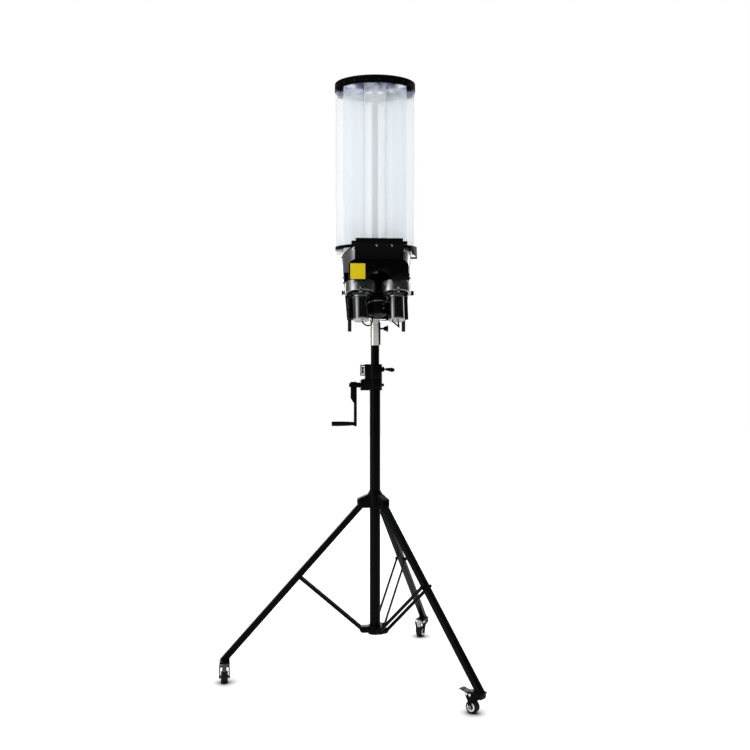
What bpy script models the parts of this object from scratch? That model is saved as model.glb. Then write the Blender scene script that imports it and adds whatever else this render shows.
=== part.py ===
"""A badminton serving machine on a wheeled folding stand.

Metres, +Z up. The floor is at Z = 0, the mast's axis is the Z axis, and the head's front faces -Y.
"""

from math import atan2, cos, degrees, hypot, pi, radians, sin

import bmesh
import bpy
from mathutils import Matrix, Vector

MM = 0.001

# Gaps
FIT = 0.3 * MM  # between pieces fixed to one another
RUN = 0.4 * MM  # between pieces that slide or turn on one another

# Mast
MAST_R = 17.5 * MM
MAST_WALL = 2 * MM
MAST_FOOT_Z = 136 * MM
MAST_TOP_Z = 1012 * MM
INNER_R = 14 * MM
INNER_WALL = 1.5 * MM
INNER_FOOT_Z = 560 * MM
SLEEVE_R = 16 * MM
SLEEVE_FOOT_Z = 1082 * MM
SLEEVE_TOP_Z = 1158 * MM
SLEEVE_SEAT = 8 * MM  # solid length above the sleeve's bore
SLEEVE_FLANGE_R = 37 * MM
SLEEVE_FLANGE_Z = 1171 * MM
THUMB_SCREW_Z = 1137 * MM

# Folding legs
LEG_AZIMUTHS = {"left": 182.5, "right": 302.5, "rear": 62.5}
LEG_SIDE = 20 * MM
LEG_WALL = 1.5 * MM
HUB_PIVOT_R = 40 * MM
HUB_PIVOT_Z = 564 * MM
LEG_REACH = 491 * MM  # swivel axis to mast axis
LEG_FOOT_Z = 70 * MM
BRACE_AT = 316 * MM  # along the leg, from its hub pivot
COLLAR_PIVOT_R = 42 * MM
COLLAR_PIVOT_Z = 148 * MM
COLLAR_R = 23 * MM
LUG_HALF = 14 * MM
BAR_WIDTH = 10.5 * MM
BAR_THICK = 3.5 * MM
BOLT_R = 3 * MM
BOLT_HEAD_R = 5.5 * MM
BOLT_HEAD = 3.5 * MM
HUB_R = 24 * MM
HUB_RIM_R = 20.5 * MM
HUB_CHEEK = 3.5 * MM
HUB_ROOF = 4 * MM
HUB_UNDER = 16 * MM  # hub's underside below the leg pivots
HUB_OVER = 39 * MM  # hub's top above the leg pivots

# Casters
CASTER_TRAILS = {"left": 271, "right": 134, "rear": 238}
LEG_PLATE = 3.5 * MM
WHEEL_R = 19 * MM
WHEEL_HALF = 11 * MM
WHEEL_TRAIL = 24 * MM
FORK_GAP = 2 * MM
FORK_THICK = 3 * MM
PEDAL_PIVOT = (36 * MM, 57 * MM)
STEM_R = 5 * MM

# Winch and clamp
WINCH_FOOT_Z = 934 * MM
WINCH_TOP_Z = 971 * MM
WINCH_LEFT = 49 * MM
BOSS_R = 23.5 * MM
CRANK_Z = 951 * MM
SHAFT_R = 6 * MM
DRUM_R = 13.5 * MM
CRANK_THROW = 127 * MM
CRANK_INNER_X = 61 * MM
GRIP_LENGTH = 73 * MM
GRIP_R = 7.8 * MM
CLAMP_TOP_Z = 1020 * MM
LEVER_X = 26 * MM
LEVER_Z = 1003 * MM

# Turning unit and head
PAN_R = 30 * MM
PAN_TOP_Z = 1233 * MM
DECK_Z = 1241 * MM
DECK_THICK = 5 * MM
HEAD_FORWARD = 30 * MM  # shell axis in front of the mast axis
SHELL_FOOT_R = 99 * MM
SHELL_FOOT_Z = 1165 * MM
SHELL_RIM_R = 115 * MM
SHELL_RIM_Z = 1366 * MM
SHELL_WALL = 2.5 * MM
SHELL_FRONT_Z = 1395 * MM  # top of the rim where it meets the hood
SHELL_RISE_FROM = 48 * MM
SHELL_RISE_TO = 113 * MM
FRONT_CUT = 54 * MM  # shell is open in front of this, below the hood
FRONT_CUT_Z = 1316 * MM
FLOOR_R = 110 * MM
FLOOR_THICK = 5 * MM
CATCH_AT = -6  # degrees, where the magazine's catch stands
HOOD_HALF = 77 * MM
HOOD_FRONT = 140 * MM
HOOD_BACK = 96 * MM
HOOD_FOOT_Z = 1322 * MM
HOOD_TIER_Z = 1402 * MM  # underside of the wider tier
HOOD_TOP_Z = 1421 * MM
HOOD_WALL = 3 * MM
PANEL_HALF = 96 * MM
PANEL_SHIFT = -3 * MM
PANEL_FOOT_Z = 1289 * MM
PANEL_TOP_Z = 1354 * MM
PANEL_THICK = 3 * MM
LAUNCH_R = 36 * MM  # arch in the panel that the shuttle flies through

# Launcher unit, in its own frame: x across, f forward, h up from the pitch axis
PITCH_Z = 1253 * MM
PITCH_REST = 15  # degrees nose up
PLATE_LOW = -33 * MM
PLATE_THICK = 3 * MM
TAB_X = 97 * MM
WHEEL_X = 57 * MM
WHEEL_F = 62 * MM
FLYWHEEL_R = 49 * MM
FLYWHEEL_LOW = -24 * MM
FLYWHEEL_TOP = 12 * MM
SPIN_SHAFT_R = 4 * MM
MOTOR_R = 27 * MM
MOTOR_FOOT = -113 * MM
FEED_F = 36 * MM
FEED_MOTOR_R = 28 * MM
FEED_MOTOR_FOOT = -88 * MM
STRIP_X = 90 * MM
STRIP_F = 45 * MM
STRIP_R = 7.2 * MM
STRIP_FOOT = -103 * MM
KNOB_X = 107.2 * MM
KNOB_R = 7.5 * MM
LEAD_R = 2.4 * MM
LEAD_GAP = 0.7 * MM  # from a lead's end to its motor

# Rubber feet that the head stands on when it is taken off the mast
FOOT_X = 88 * MM
FOOT_F = 50 * MM
FOOT_R = 6 * MM
FOOT_TOP_Z = 1200 * MM
FOOT_LOW_Z = 1126 * MM

# Magazine
TUBE_COUNT = 8
TUBE_CENTRES = 94.8 * MM
TUBE_R = 35.3 * MM
TUBE_WALL = 1 * MM
TUBE_FOOT_Z = 1383.5 * MM
MAGAZINE_REST = -96  # degrees, where a tube stands at rest
BOTTOM_RING_Z = 1395 * MM
BOTTOM_RING_THICK = 10 * MM
TOP_RING_Z = 1916 * MM
TOP_RING_HEIGHT = 25 * MM
TOP_RING_R = 132.5 * MM
RING_PLATE = 4 * MM
ROD_R = 10 * MM

# Values that follow
LEG_LEAN = atan2(LEG_REACH - HUB_PIVOT_R, HUB_PIVOT_Z - LEG_FOOT_Z)
LEG_ALONG = Vector((sin(LEG_LEAN), 0, -cos(LEG_LEAN)))
BRACE_END = Vector((HUB_PIVOT_R, 0, HUB_PIVOT_Z)) + LEG_ALONG * BRACE_AT
BRACE_RUN = BRACE_END - Vector((COLLAR_PIVOT_R, 0, COLLAR_PIVOT_Z))
BAR_INNER = LUG_HALF + RUN
BAR_OUTER = BAR_INNER + BAR_THICK
HUB_ARM_INNER = LEG_SIDE / 2 + 0.5 * MM
HUB_ARM_OUTER = HUB_ARM_INNER + HUB_CHEEK
MAST_BORE = MAST_R + RUN
INNER_BORE = INNER_R + RUN
SHELL_SLOPE = (SHELL_RIM_R - SHELL_FOOT_R) / (SHELL_RIM_Z - SHELL_FOOT_Z)
FLOOR_Z = SHELL_RIM_Z + FIT
TUBE_HOLE = TUBE_R + FIT
TOP_RING_TOP_Z = TOP_RING_Z + TOP_RING_HEIGHT
PLATE_TOP = PLATE_LOW + PLATE_THICK
SHAFT_BORE = SPIN_SHAFT_R + RUN


# Scene and materials


def clear_scene():
    for obj in list(bpy.data.objects):
        bpy.data.objects.remove(obj, do_unlink=True)


def collection(name):
    made = bpy.data.collections.new(name)
    bpy.context.scene.collection.children.link(made)
    return made


def material(name, colour, roughness, metallic=0.0):
    made = bpy.data.materials.new(name)
    made.use_nodes = True
    shader = made.node_tree.nodes["Principled BSDF"]
    shader.inputs["Base Color"].default_value = (*colour, 1)
    shader.inputs["Roughness"].default_value = roughness
    shader.inputs["Metallic"].default_value = metallic
    made.diffuse_color = (*colour, 1)
    return made


clear_scene()
PARTS = collection("badminton_serving_machine")
CUTTERS = collection("cutters")

BLACK_PAINT = ("black_paint", (0.012, 0.013, 0.014), 0.28)
BLACK_PLASTIC = ("black_plastic", (0.014, 0.014, 0.015), 0.45)
GLOSS_BLACK = ("gloss_black", (0.01, 0.01, 0.01), 0.15)
CHROME = ("chrome", (0.75, 0.75, 0.74), 0.12, 1.0)
STEEL = ("steel", (0.5, 0.5, 0.51), 0.3, 1.0)
ALUMINIUM = ("aluminium", (0.48, 0.49, 0.5), 0.35, 1.0)
SHELL_GREY = ("shell_grey", (0.35, 0.35, 0.36), 0.2)
RUBBER = ("rubber", (0.02, 0.02, 0.02), 0.8)
CLEAR_TUBE = ("clear_tube", (0.85, 0.89, 0.93), 0.2)


def paint(obj, look):
    """Gives the piece its own material."""
    obj.data.materials.clear()
    obj.data.materials.append(material(f"{obj.name}_{look[0]}", *look[1:]))


# Shapes


def add(name, mesh):
    obj = bpy.data.objects.new(name, mesh)
    PARTS.objects.link(obj)
    return obj


def from_bmesh(name, shape):
    mesh = bpy.data.meshes.new(name)
    shape.to_mesh(mesh)
    shape.free()
    return add(name, mesh)


def box(name, low, high):
    """A block between two opposite corners."""
    low, high = Vector(low), Vector(high)
    shape = bmesh.new()
    bmesh.ops.create_cube(shape, size=1)
    size = high - low
    middle = (high + low) / 2
    bmesh.ops.scale(shape, vec=size, verts=shape.verts)
    bmesh.ops.translate(shape, vec=middle, verts=shape.verts)
    return from_bmesh(name, shape)


def rod(name, start, end, radius, end_radius=None, sides=12):
    """A round bar, or a cone, from start to end. Six sides make a hexagon."""
    start, end = Vector(start), Vector(end)
    run = end - start
    shape = bmesh.new()
    bmesh.ops.create_cone(
        shape,
        cap_ends=True,
        segments=sides,
        radius1=radius,
        radius2=radius if end_radius is None else end_radius,
        depth=run.length,
    )
    turn = run.to_track_quat("Z", "Y").to_matrix().to_4x4()
    shape.transform(Matrix.Translation((start + end) / 2) @ turn)
    return from_bmesh(name, shape)


def turned(name, profile, steps=28, closed=True):
    """A solid turned about Z. The profile runs down its outer side; closed joins its ends off the axis."""
    mesh = bpy.data.meshes.new(name)
    points = [(radius, 0, height) for radius, height in profile]
    edges = [(i, i + 1) for i in range(len(points) - 1)]
    if closed:
        edges.append((len(points) - 1, 0))
    mesh.from_pydata(points, edges, [])
    obj = add(name, mesh)
    screw = obj.modifiers.new("turn", "SCREW")
    screw.steps = steps
    screw.render_steps = steps
    screw.use_merge_vertices = True
    screw.merge_threshold = 1e-6
    return obj


def settled(obj):
    """Makes the object's modifiers or curve into its plain mesh."""
    bpy.context.view_layer.update()
    graph = bpy.context.evaluated_depsgraph_get()
    mesh = bpy.data.meshes.new_from_object(obj.evaluated_get(graph))
    name = obj.name
    bpy.data.objects.remove(obj, do_unlink=True)
    shape = bmesh.new()
    shape.from_mesh(mesh)
    bmesh.ops.remove_doubles(shape, verts=shape.verts, dist=1e-6)
    bmesh.ops.recalc_face_normals(shape, faces=shape.faces)
    shape.to_mesh(mesh)
    shape.free()
    return add(name, mesh)


PLANES = {
    "XY": Matrix.Identity(4),
    "XZ": Matrix(((1, 0, 0, 0), (0, 0, -1, 0), (0, 1, 0, 0), (0, 0, 0, 1))),
    "YZ": Matrix(((0, 0, 1, 0), (1, 0, 0, 0), (0, 1, 0, 0), (0, 0, 0, 1))),
}


def slab(name, outlines, low, high, plane="XY"):
    """A flat piece: its outer outline and any holes, drawn in a plane, from low to high across it."""
    curve = bpy.data.curves.new(name, "CURVE")
    curve.dimensions = "2D"
    curve.fill_mode = "BOTH"
    curve.extrude = (high - low) / 2
    for outline in outlines:
        spline = curve.splines.new("POLY")
        spline.points.add(len(outline) - 1)
        for point, (u, v) in zip(spline.points, outline):
            point.co = (u, v, 0, 1)
        spline.use_cyclic_u = True
    obj = settled(add(name, curve))
    middle = (low + high) / 2
    if plane == "XZ":
        middle = -middle
    obj.data.transform(PLANES[plane] @ Matrix.Translation((0, 0, middle)))
    return obj


def arc(centre, radius, start, end, steps=8):
    """Points of an arc, angles in degrees."""
    points = []
    for i in range(steps + 1):
        angle = radians(start + (end - start) * i / steps)
        points.append((centre[0] + radius * cos(angle), centre[1] + radius * sin(angle)))
    return points


def ring_of(centre, radius, steps=24):
    return arc(centre, radius, 0, 360, steps)[:-1]


def helper(obj, owner):
    """Hides a cutter or a joined-on shape and ties it to its piece."""
    PARTS.objects.unlink(obj)
    CUTTERS.objects.link(obj)
    obj.hide_render = True
    obj.display_type = "WIRE"
    obj.parent = owner


def combine(obj, others, operation):
    for other in others:
        helper(other, obj)
        modifier = obj.modifiers.new(operation.lower(), "BOOLEAN")
        modifier.operation = operation
        modifier.solver = "EXACT"
        modifier.object = other


def fuse(obj, *others):
    combine(obj, others, "UNION")


def carve(obj, *others):
    combine(obj, others, "DIFFERENCE")


def frame(name, place, turn=(0, 0, 0), parent=None):
    """An empty that holds a group of pieces; turn is in degrees."""
    empty = bpy.data.objects.new(name, None)
    PARTS.objects.link(empty)
    empty.location = place
    empty.rotation_euler = [radians(angle) for angle in turn]
    empty.parent = parent
    return empty


def finish(obj, look, parent=None, place=(0, 0, 0), turn=(0, 0, 0)):
    obj.parent = parent
    obj.location = place
    obj.rotation_euler = [radians(angle) for angle in turn]
    paint(obj, look)
    return obj


def hex_head(name, start, end, radius=BOLT_HEAD_R):
    return rod(name, start, end, radius, sides=6)


# Mast


def make_mast():
    inside = MAST_R - MAST_WALL
    outer = [
        (MAST_R, MAST_TOP_Z),
        (MAST_R, MAST_FOOT_Z + FIT),
        (inside, MAST_FOOT_Z + FIT),
        (inside, MAST_TOP_Z),
    ]
    finish(turned("mast_outer_tube", outer), BLACK_PAINT)
    seat = SLEEVE_TOP_Z - SLEEVE_SEAT - FIT
    bore = INNER_R - INNER_WALL
    inner = [(INNER_R, seat), (INNER_R, INNER_FOOT_Z), (bore, INNER_FOOT_Z), (bore, seat)]
    finish(turned("mast_inner_tube", inner), BLACK_PAINT)


def make_foot_collar():
    top = COLLAR_PIVOT_Z + 12 * MM
    low = MAST_FOOT_Z - 4 * MM
    bore = MAST_R + FIT
    cup = [(0, low), (COLLAR_R, low), (COLLAR_R, top), (bore, top), (bore, MAST_FOOT_Z), (0, MAST_FOOT_Z)]
    collar = turned("foot_collar", cup[::-1], closed=False)
    reach = COLLAR_PIVOT_R - bore
    for side, azimuth in LEG_AZIMUTHS.items():
        half = 10 * MM
        end = arc((COLLAR_PIVOT_R, COLLAR_PIVOT_Z), half, -90, 90)
        root = COLLAR_PIVOT_R - reach + 1.5 * MM
        outline = [(root, COLLAR_PIVOT_Z - half), *end, (root, COLLAR_PIVOT_Z + half)]
        lug = slab(f"lug_{side}", [outline, ring_of((COLLAR_PIVOT_R, COLLAR_PIVOT_Z), BOLT_R + RUN, 12)],
                   -LUG_HALF, LUG_HALF, "XZ")
        lug.data.transform(Matrix.Rotation(radians(azimuth), 4, "Z"))
        fuse(collar, lug)
    finish(collar, BLACK_PAINT)


def hub_arm(side, azimuth):
    """One fork of the hub, open below and outwards, and the shapes that cut it."""
    root, tip = HUB_R - 4 * MM, HUB_PIVOT_R + 18 * MM
    roof_root, roof_tip = 30 * MM, 14 * MM
    roof = [(root, roof_root), (tip, roof_tip)]
    outline = [(root, -HUB_UNDER), *roof, (tip, -8 * MM), (tip - 8 * MM, -HUB_UNDER)]
    arm = slab(f"arm_{side}", [outline], -HUB_ARM_OUTER, HUB_ARM_OUTER, "XZ")
    slope = (roof_tip - roof_root) / (tip - root)
    near, far = HUB_R + 1.5 * MM, tip + 20 * MM
    heights = [roof_root + (r - root) * slope - HUB_ROOF for r in (near, far)]
    room = [(near, -40 * MM), (near, heights[0]), (far, heights[1]), (far, -40 * MM)]
    slot = slab(f"slot_{side}", [room], -HUB_ARM_INNER, HUB_ARM_INNER, "XZ")
    reach = HUB_ARM_OUTER + 5 * MM
    hole = rod(f"hole_{side}", (HUB_PIVOT_R, -reach, 0), (HUB_PIVOT_R, reach, 0), BOLT_R + RUN, sides=12)
    for shape in (arm, slot, hole):
        shape.data.transform(Matrix.Rotation(radians(azimuth), 4, "Z"))
    return arm, slot, hole


def make_hub():
    rim = 6 * MM
    sleeve = [
        (HUB_RIM_R, HUB_OVER),
        (HUB_RIM_R, HUB_OVER - rim),
        (HUB_R, HUB_OVER - rim),
        (HUB_R, -HUB_UNDER),
        (MAST_BORE, -HUB_UNDER),
        (MAST_BORE, HUB_OVER),
    ]
    hub = turned("leg_hub", sleeve)
    shapes = [hub_arm(side, azimuth) for side, azimuth in LEG_AZIMUTHS.items()]
    for arm, _, _ in shapes:
        fuse(hub, arm)
    for _, slot, hole in shapes:
        carve(hub, slot, hole)
    finish(hub, BLACK_PAINT, place=(0, 0, HUB_PIVOT_Z))


def leg_outline():
    """The leg from the side, its hub pivot at the origin: a round top and a level foot."""
    half = LEG_SIDE / 2
    drop = HUB_PIVOT_Z - LEG_FOOT_Z
    lean = degrees(LEG_LEAN)
    top = arc((0, 0), half, lean, lean + 180, 10)
    inner = (drop - sin(LEG_LEAN) * half) / cos(LEG_LEAN)
    outer = (drop + sin(LEG_LEAN) * half) / cos(LEG_LEAN)
    foot_inner = (-cos(LEG_LEAN) * half + inner * sin(LEG_LEAN), -drop)
    foot_outer = (cos(LEG_LEAN) * half + outer * sin(LEG_LEAN), -drop)
    return [*top, foot_inner, foot_outer]


def make_leg(side, azimuth):
    place = Matrix.Rotation(radians(azimuth), 4, "Z") @ Vector((HUB_PIVOT_R, 0, HUB_PIVOT_Z))
    holder = frame(f"{side}_leg_frame", place, (0, 0, azimuth))
    half = LEG_SIDE / 2
    leg = slab(f"leg_{side}", [leg_outline()], -half, half, "XZ")
    inside = half - LEG_WALL
    across = Vector((cos(LEG_LEAN), 0, sin(LEG_LEAN))) * inside
    near, far = LEG_ALONG * 30 * MM, LEG_ALONG * (LEG_REACH + LEG_FOOT_Z + 200 * MM)
    corners = [near + across, near - across, far - across, far + across]
    pocket = slab(f"pocket_{side}", [[(c.x, c.z) for c in corners]], -inside, inside, "XZ")
    foot_x, foot_z = LEG_REACH - HUB_PIVOT_R, LEG_FOOT_Z - HUB_PIVOT_Z
    plate = box(f"caster_plate_{side}", (foot_x - 15 * MM, -12 * MM, foot_z - LEG_PLATE),
                (foot_x + 15 * MM, 12 * MM, foot_z + 0.01 * MM))
    stem_hole = rod(f"stem_hole_{side}", (foot_x, 0, foot_z - 10 * MM), (foot_x, 0, foot_z + 4 * MM),
                    STEM_R + RUN)
    head = HUB_ARM_OUTER + RUN
    bolt = rod(f"bolt_{side}", (0, -head - 1 * MM, 0), (0, head + 1 * MM, 0), BOLT_R, sides=12)
    heads = [hex_head(f"head_{side}_{sign}", (0, sign * head, 0), (0, sign * (head + BOLT_HEAD), 0))
             for sign in (1, -1)]
    carve(leg, pocket)
    fuse(leg, plate)
    carve(leg, stem_hole)
    fuse(leg, bolt, *heads)
    finish(leg, BLACK_PAINT, holder)


def make_brace(side, azimuth):
    """Two flat bars on one frame at the collar's lug: the front one carries the lug's through bolt."""
    place = Matrix.Rotation(radians(azimuth), 4, "Z") @ Vector((COLLAR_PIVOT_R, 0, COLLAR_PIVOT_Z))
    holder = frame(f"{side}_brace_frame", place, (0, 0, azimuth))
    half = BAR_WIDTH / 2
    lean = degrees(atan2(BRACE_RUN.z, BRACE_RUN.x))
    far = (BRACE_RUN.x, BRACE_RUN.z)
    outline = arc((0, 0), half, lean + 90, lean + 270) + arc(far, half, lean - 90, lean + 90)
    holes = [ring_of((0, 0), BOLT_R + RUN, 12)]
    for name, sign in (("front", -1), ("back", 1)):
        low, high = sorted((sign * BAR_INNER, sign * BAR_OUTER))
        through = name == "front"
        bar = slab(f"brace_{side}_{name}", [outline] if through else [outline, *holes], low, high, "XZ")
        washer_low = sign * (LEG_SIDE / 2 + RUN)
        washer = rod(f"washer_{side}_{name}", (far[0], washer_low, far[1]),
                     (far[0], sign * (BAR_INNER + 1 * MM), far[1]), 4.5 * MM, sides=12)
        head = hex_head(f"bolt_head_{side}_{name}", (far[0], sign * (BAR_OUTER - 0.5 * MM), far[1]),
                        (far[0], sign * (BAR_OUTER + BOLT_HEAD), far[1]))
        fuse(bar, washer, head)
        if through:
            nut = BAR_OUTER + RUN
            bolt = rod(f"lug_bolt_{side}", (0, -BAR_OUTER, 0), (0, nut + 1 * MM, 0), BOLT_R, sides=12)
            ends = [hex_head(f"lug_head_{side}", (0, -BAR_OUTER - BOLT_HEAD, 0), (0, -BAR_OUTER + 0.5 * MM, 0)),
                    hex_head(f"lug_nut_{side}", (0, nut, 0), (0, nut + BOLT_HEAD, 0))]
            fuse(bar, bolt, *ends)
        finish(bar, BLACK_PAINT, holder)


# Casters


def fork_outline():
    """A fork cheek from the side: x away from the swivel axis, z up from the floor."""
    plate_z = LEG_FOOT_Z - LEG_PLATE - RUN
    arm = 5.5 * MM  # half the width of the arm down to the axle
    axle = arc((WHEEL_TRAIL, WHEEL_R), arm, 190, 350, 6)
    left = [(-14 * MM, plate_z - 1 * MM), (-12 * MM, 50 * MM), (12 * MM, 43 * MM), (WHEEL_TRAIL - arm, 31 * MM)]
    pedal = arc(PEDAL_PIVOT, 6 * MM, -20, 80, 4)
    return [*left, *axle, (WHEEL_TRAIL + arm, 33 * MM), *pedal, (26 * MM, plate_z - 1 * MM)]


def make_caster(side, azimuth):
    at = Matrix.Rotation(radians(azimuth), 4, "Z") @ Vector((LEG_REACH, 0, 0))
    holder = frame(f"{side}_caster_frame", at, (0, 0, CASTER_TRAILS[side]))
    plate_z = LEG_FOOT_Z - LEG_PLATE - RUN
    inner = WHEEL_HALF + FORK_GAP
    outer = inner + FORK_THICK
    fork = box(f"caster_fork_{side}", (-16 * MM, -outer, plate_z - 3.5 * MM), (27 * MM, outer, plate_z))
    pieces = [slab(f"cheek_{side}_{i}", [fork_outline()], *sorted((sign * inner, sign * outer)), "XZ")
              for i, sign in enumerate((1, -1))]
    pieces.append(rod(f"axle_{side}", (WHEEL_TRAIL, -outer - 2 * MM, WHEEL_R),
                      (WHEEL_TRAIL, outer + 2 * MM, WHEEL_R), BOLT_R, sides=12))
    pieces.append(rod(f"pedal_pin_{side}", (PEDAL_PIVOT[0], -outer - 1 * MM, PEDAL_PIVOT[1]),
                      (PEDAL_PIVOT[0], outer + 1 * MM, PEDAL_PIVOT[1]), 2.5 * MM, sides=12))
    pieces.append(rod(f"race_{side}", (0, 0, plate_z - 9 * MM), (0, 0, plate_z - 3 * MM), 11 * MM, sides=12))
    pieces.append(rod(f"stem_{side}", (0, 0, plate_z - 1 * MM), (0, 0, LEG_FOOT_Z + 6 * MM), STEM_R, sides=12))
    fuse(fork, *pieces)
    finish(fork, BLACK_PAINT, holder)

    bore = BOLT_R + RUN
    hub = WHEEL_HALF + FORK_GAP / 2
    tread = [
        (WHEEL_R - 2 * MM, WHEEL_HALF),
        (WHEEL_R, WHEEL_HALF - 3 * MM),
        (WHEEL_R, 3 * MM - WHEEL_HALF),
        (WHEEL_R - 2 * MM, -WHEEL_HALF),
        (13.5 * MM, -WHEEL_HALF),
        (12 * MM, 2 * MM - WHEEL_HALF),
        (7.5 * MM, 2 * MM - WHEEL_HALF),
        (6.5 * MM, -hub),
        (bore, -hub),
    ]
    mirrored = [(r, -z) for r, z in tread[4:][::-1]]
    wheel = turned(f"caster_wheel_{side}", tread + mirrored, steps=20)
    finish(wheel, RUBBER, holder, (WHEEL_TRAIL, 0, WHEEL_R), (90, 0, 0))

    width = inner - RUN
    pedal = rod(f"brake_pedal_{side}", (0, -width, 0), (0, width, 0), 5 * MM, sides=12)
    tread_plate = slab(f"tread_plate_{side}",
                       [[(-1 * MM, 3.5 * MM), (9 * MM, 3 * MM), (29 * MM, 8 * MM), (28 * MM, 10.5 * MM),
                         (9 * MM, 6 * MM), (0, 6 * MM)]], -width, width, "XZ")
    shoe = slab(f"shoe_{side}", [[(-3.5 * MM, 0), (-4 * MM, -19 * MM), (2 * MM, -19 * MM), (8 * MM, 4 * MM)]],
                -7 * MM, 7 * MM, "XZ")
    hole = rod(f"pedal_hole_{side}", (0, -width - 1 * MM, 0), (0, width + 1 * MM, 0), 2.5 * MM + RUN, sides=12)
    fuse(pedal, tread_plate, shoe)
    carve(pedal, hole)
    finish(pedal, STEEL, holder, (PEDAL_PIVOT[0], 0, PEDAL_PIVOT[1]))


# Winch and clamp


def make_winch():
    chamfer = 5 * MM
    outline = [
        (-WINCH_LEFT, WINCH_FOOT_Z),
        (0, WINCH_FOOT_Z),
        (0, WINCH_TOP_Z),
        (chamfer - WINCH_LEFT, WINCH_TOP_Z),
        (-WINCH_LEFT, WINCH_TOP_Z - chamfer),
    ]
    housing = slab("winch_housing", [outline], -19 * MM, 19 * MM, "XZ")
    boss = rod("winch_boss", (0, 0, WINCH_FOOT_Z), (0, 0, WINCH_TOP_Z), BOSS_R, sides=32)
    bore = rod("winch_bore", (0, 0, WINCH_FOOT_Z - 1 * MM), (0, 0, WINCH_TOP_Z + 1 * MM), MAST_R + FIT, sides=32)
    room = rod("drum_room", (3 * MM - WINCH_LEFT, 0, CRANK_Z), (-22.5 * MM, 0, CRANK_Z), DRUM_R + 1 * MM)
    shaft_hole = rod("shaft_hole", (-WINCH_LEFT - 1 * MM, 0, CRANK_Z), (-WINCH_LEFT + 4 * MM, 0, CRANK_Z),
                     SHAFT_R + RUN)
    nut = hex_head("winch_nut", (BOSS_R - 2 * MM, 0, CRANK_Z), (BOSS_R + 6 * MM, 0, CRANK_Z), 5 * MM)
    fuse(housing, boss, nut)
    carve(housing, bore, room, shaft_hole)
    finish(housing, BLACK_PAINT)


def make_crank():
    """The crank turns about the X axis at the winch's height; its arm hangs down."""
    inner, thick, thin = -CRANK_INNER_X, 20 * MM, 9 * MM
    outline = [
        (inner, 11 * MM),
        (inner - thick, 11 * MM),
        (inner - thick, -42 * MM),
        (inner - thin, -60 * MM),
        (inner - thin, -CRANK_THROW - 8 * MM),
        (inner, -CRANK_THROW - 8 * MM),
    ]
    arm = slab("crank_arm", [outline], -10 * MM, 10 * MM, "XZ")
    shaft = rod("crank_shaft", (inner - 1 * MM, 0, 0), (-23.5 * MM, 0, 0), SHAFT_R)
    drum = turned("drum", [
        (0, 17.5 * MM), (DRUM_R, 17.5 * MM), (DRUM_R, 15.5 * MM), (9 * MM, 15.5 * MM),
        (9 * MM, 2 * MM), (DRUM_R, 2 * MM), (DRUM_R, 0), (0, 0)], 16, closed=False)
    drum = settled(drum)
    drum.data.transform(Matrix.Translation((3.5 * MM - WINCH_LEFT, 0, 0)) @ Matrix.Rotation(pi / 2, 4, "Y"))
    collar = rod("shaft_collar", (inner - 0.5 * MM, 0, 0), (-WINCH_LEFT - RUN, 0, 0), 8.5 * MM)
    pin = rod("grip_pin", (inner - 1 * MM, 0, -CRANK_THROW),
              (inner - thin - GRIP_LENGTH + 5 * MM, 0, -CRANK_THROW), BOLT_R, sides=12)
    fuse(arm, shaft, drum, collar, pin)
    finish(arm, BLACK_PAINT, place=(0, 0, CRANK_Z))

    bore = BOLT_R + RUN
    length = GRIP_LENGTH
    grip = turned("crank_grip", [
        (0, length), (GRIP_R - 2 * MM, length), (GRIP_R, length - 3 * MM), (GRIP_R, length / 2),
        (GRIP_R - 2 * MM, 0), (bore, 0), (bore, length - 4 * MM), (0, length - 4 * MM)], 16, closed=False)
    at = (inner - thin - RUN, 0, CRANK_Z - CRANK_THROW)
    finish(grip, BLACK_PLASTIC, place=at, turn=(0, -90, 0))


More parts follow.
